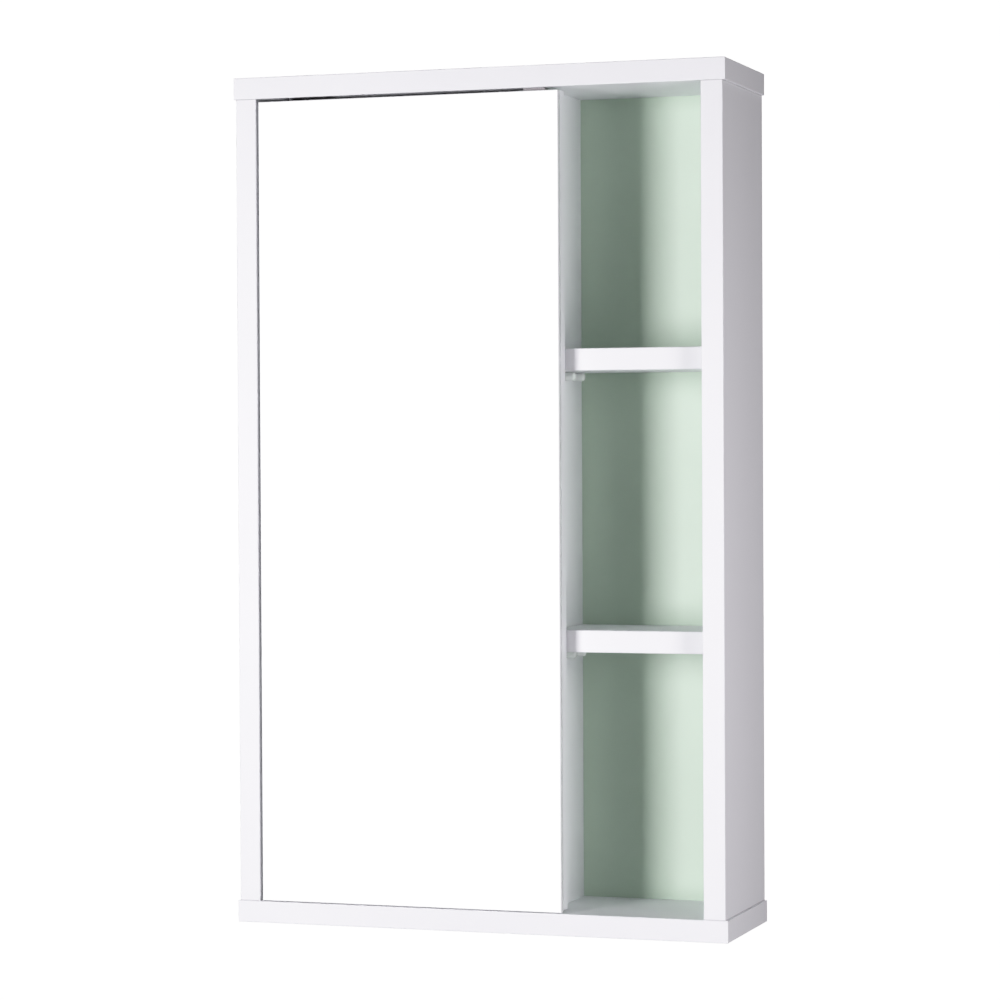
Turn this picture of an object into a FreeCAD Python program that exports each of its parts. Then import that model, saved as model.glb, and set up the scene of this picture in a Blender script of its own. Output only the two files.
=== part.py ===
"""Wall mirror cabinet: a pivoting mirror door beside three open bays.

Places are written in cabinet coordinates: x from the left end of the top panel, y from the front
plane towards the wall, z from the underside of the bottom panel. The part's own origin lies on the
wall plane, midway between the two upper wall screws, with +X to the right, +Y into the wall, +Z up.
"""
import FreeCAD, Part
import Sketcher
import math
import os
import re

doc = FreeCAD.newDocument("MirrorCabinet")
sheet = doc.addObject("Spreadsheet::Sheet", "Sizes")

SIZES = {
    # Carcass
    "cab_width": 420.0,
    "cab_depth": 127.0,
    "cab_height": 700.0,
    "cap_thickness": 18.0,
    "cap_overhang": 2.0,
    "side_thickness": 18.0,
    "divider_thickness": 18.0,
    "open_bay_width": 132.0,
    "edge_radius": 0.8,
    # Back sheet, its groove and the two hanging rails
    "back_thickness": 3.0,
    "back_end_play": 1.0,
    "groove_depth": 8.0,
    "groove_clearance": 0.1,
    "rail_thickness": 18.0,
    "rail_height": 70.0,
    "wall_screw_spacing": 150.0,
    "wall_hole_diameter": 6.0,
    "wall_hole_margin": 2.0,
    # Shelves and their pegs
    "shelf_thickness": 18.0,
    "shelf_clearance": 0.5,
    "swing_clearance": 9.0,
    "inner_shelf_lower_height": 190.0,
    "inner_shelf_upper_height": 410.0,
    "peg_front_line": 54.0,
    "peg_rear_inset": 26.0,
    "peg_stem_diameter": 5.0,
    "peg_head_diameter": 7.0,
    "peg_head_length": 11.0,
    "peg_nose_diameter": 4.6,
    "peg_nose_length": 1.4,
    "peg_bore_depth": 8.0,
    "peg_end_play": 0.2,
    "peg_clearance": 0.05,
    # Cam fittings and dowels
    "cam_diameter": 15.0,
    "cam_floor": 4.5,
    "cam_recess": 0.4,
    "cam_backset": 34.0,
    "cam_rear_inset": 18.0,
    "cam_slot_clearance": 0.5,
    "cam_driver_length": 9.0,
    "cam_driver_width": 1.8,
    "cam_driver_depth": 2.0,
    "bolt_thread_diameter": 5.0,
    "bolt_thread_length": 11.0,
    "bolt_end_play": 0.5,
    "bolt_shank_diameter": 6.0,
    "bolt_neck_diameter": 4.0,
    "bolt_neck_length": 6.0,
    "bolt_head_diameter": 6.6,
    "bolt_head_length": 2.6,
    "bolt_clearance": 0.3,
    "dowel_diameter": 8.0,
    "dowel_length": 30.0,
    "dowel_front_line": 46.0,
    "dowel_shallow_bore": 12.0,
    "dowel_end_play": 0.5,
    "dowel_rail_spacing": 40.0,
    "joinery_clearance": 0.1,
    # Door
    "door_gap_side": 2.0,
    "door_gap_top": 2.5,
    "door_gap_bottom": 2.0,
    "door_gap_rear": 2.0,
    "grip_overhang": 14.0,
    "mirror_thickness": 4.0,
    "mirror_arris": 0.6,
    "adhesive_thickness": 1.0,
    "adhesive_inset": 1.0,
    "door_board_thickness": 12.0,
    "bumper_diameter": 8.0,
    "bumper_play": 0.2,
    "bumper_inset": 100.0,
    # Pivot hinges
    "pivot_inset": 26.0,
    "pivot_lead": 2.0,
    "pivot_diameter": 5.0,
    "pivot_clearance": 0.05,
    "pivot_end_play": 1.0,
    "plate_thickness": 2.0,
    "plate_width": 10.0,
    "plate_wall": 1.0,
    "plate_tail": 6.0,
    "plate_clearance": 0.1,
    "bush_diameter": 9.0,
    "bush_depth": 9.0,
    "washer_diameter": 11.0,
    "washer_play": 0.2,
    "washer_clearance": 0.1,
    "screw_first": 14.0,
    "screw_pitch": 14.0,
    "screw_diameter": 3.0,
    "screw_head_diameter": 5.6,
    "screw_head_height": 1.5,
    "screw_tip_diameter": 1.0,
    "screw_tip_length": 3.0,
    "screw_skin": 2.0,
    "screw_clearance": 0.05,
    # Magnetic catch over the door's free corner
    "catch_inset": 22.0,
    "catch_width": 18.0,
    "catch_depth": 10.0,
    "catch_embedding": 8.0,
    "catch_play": 0.3,
    "magnet_width": 13.0,
    "magnet_depth": 6.0,
    "magnet_height": 6.0,
    "strike_span": 26.0,
}

for row, (alias, value) in enumerate(SIZES.items(), start=1):
    sheet.set(f"A{row}", alias)
    sheet.set(f"B{row}", str(value))
    sheet.setAlias(f"B{row}", alias)
doc.recompute()

# Small hidden fittings and the bores that hold them are drawn eight-sided, pegs and bumpers ten-sided
SMALL_FITTING_SIDES = 8
PEG_SIDES = 10

# How near two places count as the same, and where a sketch's lines start before they are bound
TOUCH = 0.001
DRAFT_CENTRE = 20.0
DRAFT_RADIUS = 9.0

# Derived places, in cabinet coordinates
INNER_LEFT = "(cap_overhang + side_thickness)"
INNER_RIGHT = "(cab_width - cap_overhang - side_thickness)"
DIVIDER_RIGHT = f"({INNER_RIGHT} - open_bay_width)"
DIVIDER_LEFT = f"({DIVIDER_RIGHT} - divider_thickness)"
CEILING = "(cab_height - cap_thickness)"
UPRIGHT_HEIGHT = "(cab_height - 2 * cap_thickness)"
BACK_FRONT = "(cab_depth - rail_thickness - back_thickness)"
GROOVE_FRONT = f"({BACK_FRONT} - groove_clearance)"
GROOVE_WIDTH = "(back_thickness + 2 * groove_clearance)"
BAY_HEIGHT = f"(({UPRIGHT_HEIGHT} - 2 * shelf_thickness) / 3)"

BOARD_FRONT = "(mirror_thickness + adhesive_thickness)"
DOOR_BACK = f"({BOARD_FRONT} + door_board_thickness)"
DIVIDER_FRONT = f"({DOOR_BACK} + door_gap_rear)"
DIVIDER_DEPTH = f"({BACK_FRONT} - {DIVIDER_FRONT})"
DIVIDER_MIDDLE = f"({DIVIDER_LEFT} + divider_thickness / 2)"
DOOR_LEFT = f"({INNER_LEFT} + door_gap_side)"
DOOR_RIGHT = f"({DIVIDER_RIGHT} + grip_overhang)"
DOOR_WIDTH = f"({DOOR_RIGHT} - {DOOR_LEFT})"
DOOR_BOTTOM = "(cap_thickness + door_gap_bottom)"
DOOR_TOP = f"({CEILING} - door_gap_top)"
DOOR_HEIGHT = f"({DOOR_TOP} - {DOOR_BOTTOM})"

PLATE_LINE = f"({BOARD_FRONT} + plate_wall + plate_width / 2)"
PLATE_SPAN = "(screw_first + screw_pitch + plate_tail)"
PLATE_POCKET = "(plate_width + 2 * plate_clearance)"
PIVOT_X = f"({DOOR_LEFT} + pivot_inset)"
PIVOT_LINE = f"({PLATE_LINE} - pivot_lead)"
BUSH_BORE = "(bush_diameter + 2 * plate_clearance)"
SCREW_LENGTH = "(cap_thickness - screw_skin)"
SCREW_BORE = "(screw_diameter + 2 * screw_clearance)"
SCREW_REACH = f"({SCREW_LENGTH} + screw_clearance)"
CATCH_X = f"({DOOR_RIGHT} - catch_inset)"
STRIKE_X = f"({CATCH_X} - strike_span / 2)"

# The hinge edge of the open door swings into the cabinet, so the inner shelves stand behind its arc
DOOR_BEHIND_PIVOT = f"({DOOR_BACK} - {PIVOT_LINE})"
SWING_RADIUS = f"sqrt(pivot_inset * pivot_inset + {DOOR_BEHIND_PIVOT} * {DOOR_BEHIND_PIVOT})"
INNER_SHELF_FRONT = f"({PIVOT_LINE} + {SWING_RADIUS} + swing_clearance)"

PEG_REAR_LINE = f"({BACK_FRONT} - peg_rear_inset)"
PEG_DROP = "(peg_head_diameter / 2 + peg_clearance)"
PEG_STEM = "(peg_bore_depth - peg_end_play)"
PEG_BORE = "(peg_stem_diameter + 2 * peg_clearance)"
CAM_LINE = f"({BACK_FRONT} - cam_rear_inset)"
CAM_BORE = "(cam_diameter + 2 * joinery_clearance)"
BOLT_BORE = "(bolt_head_diameter + 2 * bolt_clearance)"
THREAD_BORE = "(bolt_thread_diameter + 2 * joinery_clearance)"
THREAD_REACH = "(bolt_thread_length + bolt_end_play)"
DOWEL_BORE = "(dowel_diameter + 2 * joinery_clearance)"
DOWEL_DEEP_BORE = "(dowel_length - dowel_shallow_bore + 2 * dowel_end_play)"
RAIL_LINE = "(cab_depth - rail_thickness / 2)"

WALL_SCREW_MIDDLE = f"(({INNER_LEFT} + {DIVIDER_LEFT}) / 2)"
WALL_SCREWS = (
    f"({WALL_SCREW_MIDDLE} - wall_screw_spacing / 2)",
    f"({WALL_SCREW_MIDDLE} + wall_screw_spacing / 2)",
)
UPPER_RAIL_BOTTOM = f"({CEILING} - rail_height)"
UPPER_SCREW_LINE = f"({UPPER_RAIL_BOTTOM} + rail_height / 2)"
LOWER_SCREW_LINE = "(cap_thickness + rail_height / 2)"

OPEN_SHELVES = {
    "open_shelf_lower": f"(cap_thickness + {BAY_HEIGHT})",
    "open_shelf_upper": f"(cap_thickness + 2 * {BAY_HEIGHT} + shelf_thickness)",
}
INNER_SHELVES = {
    "inner_shelf_lower": "(cap_thickness + inner_shelf_lower_height)",
    "inner_shelf_upper": "(cap_thickness + inner_shelf_upper_height)",
}
PEG_LINES = ("peg_front_line", PEG_REAR_LINE)
CAM_HEIGHTS = ("cam_backset", f"({UPRIGHT_HEIGHT} - cam_backset)")
RAIL_DOWEL_OFFSETS = ("- dowel_rail_spacing / 2", "+ dowel_rail_spacing / 2")
HINGE_SCREWS = ("screw_first", "(screw_first + screw_pitch)")
STRIKE_SCREWS = ("0", "strike_span")

UPRIGHT = FreeCAD.Rotation()
UPSIDE_DOWN = FreeCAD.Rotation(FreeCAD.Vector(1, 0, 0), 180)
HALF_TURN = FreeCAD.Rotation(FreeCAD.Vector(0, 0, 1), 180)
ALONG_X = FreeCAD.Rotation(FreeCAD.Vector(0, 0, 1), FreeCAD.Vector(1, 0, 0))
AGAINST_X = FreeCAD.Rotation(FreeCAD.Vector(0, 0, 1), FreeCAD.Vector(-1, 0, 0))
ALONG_Y = FreeCAD.Rotation(FreeCAD.Vector(0, 0, 1), FreeCAD.Vector(0, 1, 0))

sub_parts = []


def bound(text):
    """Turn the alias names in a formula into references to the sheet."""
    def reference(word):
        return f"Sizes.{word.group()}" if word.group() in SIZES else word.group()

    return re.sub(r"[a-z_]+", reference, text)


def place(item, at, turn=UPRIGHT):
    """Put an object at a point given in cabinet coordinates."""
    item.Placement = FreeCAD.Placement(FreeCAD.Vector(), turn)
    x, y, z = at
    item.setExpression("Placement.Base.x", bound(f"{x} - {WALL_SCREW_MIDDLE}"))
    item.setExpression("Placement.Base.y", bound(f"{y} - cab_depth"))
    item.setExpression("Placement.Base.z", bound(f"{z} - {UPPER_SCREW_LINE}"))


def put(item, at):
    """Put a tool or a building block at a point in its own piece's coordinates."""
    for axis, text in zip("xyz", at):
        item.setExpression(f"Placement.Base.{axis}", bound(text))


def finish(item, label):
    """Name an object as one of the cabinet's sub-parts."""
    item.Label = label
    sub_parts.append(item)
    return item


def sketch_on(body, name, role, lift="0"):
    """A sketch on one of the body's own origin planes, lifted along the plane's normal."""
    sketch = body.newObject("Sketcher::SketchObject", name)
    plane = next(feature for feature in body.Origin.OriginFeatures if feature.Role == role)
    sketch.AttachmentSupport = (plane, [""])
    sketch.MapMode = "FlatFace"
    sketch.setExpression("AttachmentOffset.Base.z", bound(lift))
    return sketch


def bind(sketch, constraint, text):
    index = sketch.addConstraint(constraint)
    sketch.setExpression(f"Constraints[{index}]", bound(text))


def polygon(sketch, corners):
    """A closed outline whose corners all follow formulas with positive values."""
    first = sketch.GeometryCount
    count = len(corners)
    draft = []
    for i in range(count):
        angle = 2 * math.pi * i / count
        x = DRAFT_CENTRE + DRAFT_RADIUS * math.cos(angle)
        y = DRAFT_CENTRE + DRAFT_RADIUS * math.sin(angle)
        draft.append(FreeCAD.Vector(x, y, 0))
    for i in range(count):
        sketch.addGeometry(Part.LineSegment(draft[i], draft[(i + 1) % count]), False)
    for i in range(count):
        sketch.addConstraint(Sketcher.Constraint("Coincident", first + i, 2, first + (i + 1) % count, 1))
    for i, (x, y) in enumerate(corners):
        bind(sketch, Sketcher.Constraint("DistanceX", -1, 1, first + i, 1, DRAFT_CENTRE), x)
        bind(sketch, Sketcher.Constraint("DistanceY", -1, 1, first + i, 1, DRAFT_CENTRE), y)


def rectangle(sketch, corner, size):
    x, y = corner
    right = f"({x} + {size[0]})"
    top = f"({y} + {size[1]})"
    polygon(sketch, [(x, y), (right, y), (right, top), (x, top)])


def round_outline(sketch, centre, diameter):
    index = sketch.GeometryCount
    middle = FreeCAD.Vector(DRAFT_CENTRE, DRAFT_CENTRE, 0)
    sketch.addGeometry(Part.Circle(middle, FreeCAD.Vector(0, 0, 1), DRAFT_RADIUS), False)
    bind(sketch, Sketcher.Constraint("DistanceX", -1, 1, index, 3, DRAFT_CENTRE), centre[0])
    bind(sketch, Sketcher.Constraint("DistanceY", -1, 1, index, 3, DRAFT_CENTRE), centre[1])
    bind(sketch, Sketcher.Constraint("Diameter", index, 2 * DRAFT_RADIUS), diameter)


def small_outline(sketch, centre, diameter):
    """The outline of a small fitting's bore, with its corners on the stated circle."""
    corners = []
    for i in range(SMALL_FITTING_SIDES):
        angle = f"{i} * 360 deg / {SMALL_FITTING_SIDES}"
        x = f"({centre[0]} + {diameter} / 2 * cos({angle}))"
        y = f"({centre[1]} + {diameter} / 2 * sin({angle}))"
        corners.append((x, y))
    polygon(sketch, corners)


def board(label, at, size):
    """A plain board: a rectangle padded to its height."""
    body = doc.addObject("PartDesign::Body", label)
    place(body, at)
    outline = sketch_on(body, label + "_outline", "XY_Plane")
    rectangle(outline, ("0", "0"), size[:2])
    pad = body.newObject("PartDesign::Pad", label + "_pad")
    pad.Profile = outline
    pad.setExpression("Length", bound(size[2]))
    doc.recompute()
    return finish(body, label)


def pocket(body, sketch, depth, forward):
    """Cut a sketch into the body, along the sketch's normal if forward and otherwise against it."""
    before = body.Shape.Volume
    cut = body.newObject("PartDesign::Pocket", sketch.Name + "_cut")
    cut.Profile = sketch
    cut.setExpression("Length", bound(depth))
    cut.Reversed = forward
    doc.recompute()
    if body.Shape.Volume >= before:
        raise RuntimeError(f"{sketch.Name} cuts nothing from {body.Label}")


def bores(body, name, role, lift, centres, diameter, depth, forward, outline=round_outline):
    """Bores of one size from one face."""
    sketch = sketch_on(body, f"{body.Label}_{name}", role, lift)
    for centre in centres:
        outline(sketch, centre, diameter)
    pocket(body, sketch, depth, forward)


def small_bores(body, name, role, lift, centres, diameter, depth, forward):
    bores(body, name, role, lift, centres, diameter, depth, forward, small_outline)


def recess(body, name, role, lift, corner, size, depth, forward):
    """A rectangular groove or mortise from one face."""
    sketch = sketch_on(body, f"{body.Label}_{name}", role, lift)
    rectangle(sketch, corner, size)
    pocket(body, sketch, depth, forward)


def plate_mortise(body, name, lift, start, span, forward):
    """A round-ended mortise along x that takes a plate level with the board's edge."""
    x, y = start
    corner = (x, f"({y} - {PLATE_POCKET} / 2)")
    ends = [start, (f"({x} + {span})", y)]
    recess(body, name + "_middle", "XY_Plane", lift, corner, (span, PLATE_POCKET), "plate_thickness", forward)
    bores(body, name + "_ends", "XY_Plane", lift, ends, PLATE_POCKET, "plate_thickness", forward)


def dress_edges(body, kind, keep, side, size):
    """Fillet or chamfer those edges of the body so far whose boxes the test keeps."""
    base = body.Tip
    names = []
    for index, edge in enumerate(base.Shape.Edges, start=1):
        if keep(edge.BoundBox):
            names.append(f"Edge{index}")
    dressing = body.newObject(f"PartDesign::{kind}", f"{body.Name}_{kind.lower()}")
    dressing.Base = (base, names)
    dressing.setExpression(side, bound(size))
    doc.recompute()


def round_edges(body, keep):
    """Round a board's edges, before anything is cut into it."""
    dress_edges(body, "Fillet", keep, "Radius", "edge_radius")


def is_level(box):
    return box.ZLength < TOUCH


def is_level_off_wall(box):
    return is_level(box) and box.YMin < SIZES["cab_depth"] - TOUCH


def is_front(box):
    return box.YMax < TOUCH


def is_front_upright(box):
    return is_front(box) and not is_level(box)


def is_front_level(box):
    return is_front(box) and is_level(box)


def set_of(label, pieces):
    """Like pieces as one node of separate solids, from patterns and where each copy goes."""
    links = []
    for index, (pattern, at, turn) in enumerate(pieces):
        link = doc.addObject("App::Link", f"{label}_{index}")
        link.LinkedObject = pattern
        place(link, at, turn)
        links.append(link)
    group = doc.addObject("Part::Compound", label)
    group.Links = links
    return finish(group, label)


def block(name, size, at):
    box = doc.addObject("Part::Box", name)
    for side, text in zip(("Length", "Width", "Height"), size):
        box.setExpression(side, bound(text))
    put(box, at)
    return box


def rod(name, diameter, length, at=("0", "0", "0")):
    cylinder = doc.addObject("Part::Cylinder", name)
    cylinder.setExpression("Radius", bound(f"{diameter} / 2"))
    cylinder.setExpression("Height", bound(length))
    put(cylinder, at)
    return cylinder


def small_rod(name, diameter, length, at=("0", "0", "0"), sides=SMALL_FITTING_SIDES):
    """A small fitting's rod, which fits a bore of small_outline."""
    prism = doc.addObject("Part::Prism", name)
    prism.Polygon = sides
    prism.setExpression("Circumradius", bound(f"{diameter} / 2"))
    prism.setExpression("Height", bound(length))
    put(prism, at)
    return prism


def small_taper(name, low_diameter, high_diameter, length, at, sides=SMALL_FITTING_SIDES):
    """A small fitting's taper, such as a countersunk head."""
    x, y, z = at
    ends = []
    for end, diameter, height in (("low", low_diameter, z), ("high", high_diameter, f"({z} + {length})")):
        outline = doc.addObject("Part::RegularPolygon", f"{name}_{end}")
        outline.Polygon = sides
        outline.setExpression("Circumradius", bound(f"{diameter} / 2"))
        put(outline, (x, y, height))
        ends.append(outline)
    loft = doc.addObject("Part::Loft", name)
    loft.Sections = ends
    loft.Solid = True
    loft.Ruled = True
    loft.Linearize = True
    return loft


def joined(name, shapes):
    fused = doc.addObject("Part::MultiFuse", name)
    fused.Shapes = shapes
    return fused


def cut_from(name, base, tools):
    cut = doc.addObject("Part::Cut", name)
    cut.Base = base
    cut.Tool = joined(name + "_tools", tools) if len(tools) > 1 else tools[0]
    return cut


def cap_panels():
    """Top and bottom panels: grooved for the back, bored for bolts, dowels and the hinge bushes."""
    upright_lines = (
        "(cap_overhang + side_thickness / 2)",
        DIVIDER_MIDDLE,
        f"({INNER_RIGHT} + side_thickness / 2)",
    )
    bolts = [(x, CAM_LINE) for x in upright_lines]
    dowels = [(x, "dowel_front_line") for x in upright_lines]
    pivot = (PIVOT_X, PIVOT_LINE)
    screws = [(f"({PIVOT_X} + {along})", PIVOT_LINE) for along in HINGE_SCREWS]
    groove_corner = (f"({INNER_LEFT} - groove_depth)", GROOVE_FRONT)
    groove_size = (f"({INNER_RIGHT} - {INNER_LEFT} + 2 * groove_depth)", GROOVE_WIDTH)
    bush_reach = "(plate_thickness + bush_depth + pivot_end_play)"
    catch_corner = (f"({CATCH_X} - catch_width / 2)", f"({PLATE_LINE} - catch_depth / 2)")
    catch_size = ("catch_width", "catch_depth")
    for label, height, lift, forward in (
        ("bottom_panel", "0", "cap_thickness", False),
        ("top_panel", CEILING, "0", True),
    ):
        panel = board(label, ("0", "0", height), ("cab_width", "cab_depth", "cap_thickness"))
        round_edges(panel, is_level_off_wall)
        recess(panel, "groove", "XY_Plane", lift, groove_corner, groove_size, "groove_depth", forward)
        small_bores(panel, "bolts", "XY_Plane", lift, bolts, THREAD_BORE, THREAD_REACH, forward)
        small_bores(panel, "dowels", "XY_Plane", lift, dowels, DOWEL_BORE, "dowel_shallow_bore", forward)
        plate_mortise(panel, "bush", lift, pivot, PLATE_SPAN, forward)
        bores(panel, "bush_bore", "XY_Plane", lift, [pivot], BUSH_BORE, bush_reach, forward)
        small_bores(panel, "screws", "XY_Plane", lift, screws, SCREW_BORE, SCREW_REACH, forward)
        if label == "top_panel":
            recess(panel, "catch", "XY_Plane", lift, catch_corner, catch_size, "catch_embedding", forward)


def end_joinery(panel, thickness, front):
    """Bores in the middle of an upright's two ends for the cam bolts and dowels."""
    middle = f"({thickness} / 2)"
    bolts = [(middle, f"({CAM_LINE} - {front})")]
    dowels = [(middle, f"(dowel_front_line - {front})")]
    for end, lift, forward in (("foot", "0", True), ("head", UPRIGHT_HEIGHT, False)):
        small_bores(panel, end + "_bolts", "XY_Plane", lift, bolts, BOLT_BORE, "cam_backset", forward)
        small_bores(panel, end + "_dowels", "XY_Plane", lift, dowels, DOWEL_BORE, DOWEL_DEEP_BORE, forward)


def peg_places(shelves, front):
    """Peg bores on an upright's face, from the upright's own lower front corner."""
    heights = [f"({height} - {PEG_DROP} - cap_thickness)" for height in shelves.values()]
    return [(f"({line} - {front})", height) for line in PEG_LINES for height in heights]


def cam_bore_depth(thickness):
    """The bolt lies in the middle of the board, and the cam reaches a little past it."""
    return f"({thickness} / 2 + cam_floor)"


def side_panels():
    """Left and right sides: cams, pegs, back groove and rail dowels on their inner faces."""
    rails = ("rail_height / 2", f"({UPRIGHT_HEIGHT} - rail_height / 2)")
    rail_dowels = [(RAIL_LINE, f"({rail} {offset})") for rail in rails for offset in RAIL_DOWEL_OFFSETS]
    cams = [(CAM_LINE, height) for height in CAM_HEIGHTS]
    cam_depth = cam_bore_depth("side_thickness")
    groove_size = (GROOVE_WIDTH, UPRIGHT_HEIGHT)
    for label, x, lift, forward, shelves in (
        ("left_side_panel", "cap_overhang", "side_thickness", False, INNER_SHELVES),
        ("right_side_panel", INNER_RIGHT, "0", True, OPEN_SHELVES),
    ):
        panel = board(label, (x, "0", "cap_thickness"), ("side_thickness", "cab_depth", UPRIGHT_HEIGHT))
        pegs = peg_places(shelves, "0")
        round_edges(panel, is_front_upright)
        recess(panel, "groove", "YZ_Plane", lift, (GROOVE_FRONT, "0"), groove_size, "groove_depth", forward)
        bores(panel, "cams", "YZ_Plane", lift, cams, CAM_BORE, cam_depth, forward)
        small_bores(panel, "pegs", "YZ_Plane", lift, pegs, PEG_BORE, "peg_bore_depth", forward)
        small_bores(panel, "rails", "YZ_Plane", lift, rail_dowels, DOWEL_BORE, "dowel_shallow_bore", forward)
        end_joinery(panel, "side_thickness", "0")


def divider_panel():
    """Upright between the closed compartment and the open bays, just behind the door."""
    at = (DIVIDER_LEFT, DIVIDER_FRONT, "cap_thickness")
    panel = board("divider_panel", at, ("divider_thickness", DIVIDER_DEPTH, UPRIGHT_HEIGHT))
    round_edges(panel, is_front_upright)
    cams = [(f"({CAM_LINE} - {DIVIDER_FRONT})", height) for height in CAM_HEIGHTS]
    cam_depth = cam_bore_depth("divider_thickness")
    inner = peg_places(INNER_SHELVES, DIVIDER_FRONT)
    outer = peg_places(OPEN_SHELVES, DIVIDER_FRONT)
    bores(panel, "cams", "YZ_Plane", "0", cams, CAM_BORE, cam_depth, True)
    for name, lift, pegs, forward in (
        ("inner_pegs", "0", inner, True),
        ("outer_pegs", "divider_thickness", outer, False),
    ):
        small_bores(panel, name, "YZ_Plane", lift, pegs, PEG_BORE, "peg_bore_depth", forward)
    end_joinery(panel, "divider_thickness", DIVIDER_FRONT)


def back_and_rails():
    """Coloured back sheet in its grooves, and the rails behind it that carry the wall screws."""
    tuck = "(groove_depth - back_end_play)"
    left = f"({INNER_LEFT} - {tuck})"
    low = f"(cap_thickness - {tuck})"
    width = f"({INNER_RIGHT} - {INNER_LEFT} + 2 * {tuck})"
    height = f"({UPRIGHT_HEIGHT} + 2 * {tuck})"
    back = board("back_panel", (left, BACK_FRONT, low), (width, "back_thickness", height))
    lines = (UPPER_SCREW_LINE, LOWER_SCREW_LINE)
    holes = [(f"({x} - {left})", f"({z} - {low})") for x in WALL_SCREWS for z in lines]
    wide = "(wall_hole_diameter + 2 * wall_hole_margin)"
    small_bores(back, "wall_holes", "XZ_Plane", "0", holes, wide, "back_thickness", False)

    dowels = [("(rail_thickness / 2)", f"(rail_height / 2 {offset})") for offset in RAIL_DOWEL_OFFSETS]
    length = f"({INNER_RIGHT} - {INNER_LEFT})"
    holes = [(f"({x} - {INNER_LEFT})", "(rail_height / 2)") for x in WALL_SCREWS]
    for label, lift in (("upper_hanging_rail", UPPER_RAIL_BOTTOM), ("lower_hanging_rail", "cap_thickness")):
        at = (INNER_LEFT, "(cab_depth - rail_thickness)", lift)
        rail = board(label, at, (length, "rail_thickness", "rail_height"))
        bores(rail, "wall_holes", "XZ_Plane", "0", holes, "wall_hole_diameter", "rail_thickness", False)
        small_bores(rail, "left_dowels", "YZ_Plane", "0", dowels, DOWEL_BORE, DOWEL_DEEP_BORE, True)
        small_bores(rail, "right_dowels", "YZ_Plane", length, dowels, DOWEL_BORE, DOWEL_DEEP_BORE, False)


def shelves_and_pegs():
    """Two shelves in the open bays, two behind the door, each on four plastic pegs."""
    barrel_length = "(peg_head_length - peg_nose_length)"
    barrel_at = ("0", "0", PEG_STEM)
    nose_at = ("0", "0", f"({PEG_STEM} + {barrel_length})")
    nose_ends = ("peg_head_diameter", "peg_nose_diameter")
    peg = joined("shelf_peg", [
        small_rod("peg_stem", "peg_stem_diameter", PEG_STEM),
        small_rod("peg_barrel", "peg_head_diameter", barrel_length, barrel_at, PEG_SIDES),
        small_taper("peg_nose", *nose_ends, "peg_nose_length", nose_at, PEG_SIDES),
    ])
    for group, shelves, left, right, front in (
        ("open_shelf_pegs", OPEN_SHELVES, DIVIDER_RIGHT, INNER_RIGHT, DIVIDER_FRONT),
        ("inner_shelf_pegs", INNER_SHELVES, INNER_LEFT, DIVIDER_LEFT, INNER_SHELF_FRONT),
    ):
        width = f"({right} - {left} - 2 * shelf_clearance)"
        depth = f"({BACK_FRONT} - shelf_clearance - {front})"
        pegs = []
        for label, height in shelves.items():
            at = (f"({left} + shelf_clearance)", front, height)
            shelf = board(label, at, (width, depth, "shelf_thickness"))
            round_edges(shelf, is_front_level)
            drop = f"({height} - {PEG_DROP})"
            for line in PEG_LINES:
                pegs.append((peg, (f"({left} - {PEG_STEM})", line, drop), ALONG_X))
                pegs.append((peg, (f"({right} + {PEG_STEM})", line, drop), AGAINST_X))
        set_of(group, pegs)


def cam_lock(name, thickness):
    """A cam for boards of one thickness: a disc with a slot for the bolt's head and a driver slot."""
    height = f"({cam_bore_depth(thickness)} - cam_recess)"
    slot_width = "(bolt_head_diameter + 2 * cam_slot_clearance)"
    slot_size = ("cam_diameter", slot_width, f"(cam_floor + {slot_width} / 2)")
    driver_size = ("cam_driver_length", "cam_driver_width", "cam_driver_depth")
    driver_corner = ("-cam_driver_length / 2", "-cam_driver_width / 2", f"{height} - cam_driver_depth")
    return cut_from(name, rod(name + "_disc", "cam_diameter", height), [
        block(name + "_slot", slot_size, ("-bolt_neck_length", f"-{slot_width} / 2", "0")),
        block(name + "_driver", driver_size, driver_corner),
    ])


def cam_bolt():
    """Threaded foot, shank, thin neck and the head that the cam pulls on."""
    head_foot = "(bolt_thread_length + cam_backset - bolt_head_length / 2)"
    neck_foot = f"({head_foot} - bolt_neck_length)"
    shank_length = f"({neck_foot} - bolt_thread_length)"
    return joined("cam_bolt", [
        small_rod("bolt_thread", "bolt_thread_diameter", "bolt_thread_length"),
        small_rod("bolt_shank", "bolt_shank_diameter", shank_length, ("0", "0", "bolt_thread_length")),
        small_rod("bolt_neck", "bolt_neck_diameter", "bolt_neck_length", ("0", "0", neck_foot)),
        small_rod("bolt_head", "bolt_head_diameter", "bolt_head_length", ("0", "0", head_foot)),
    ])


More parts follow.
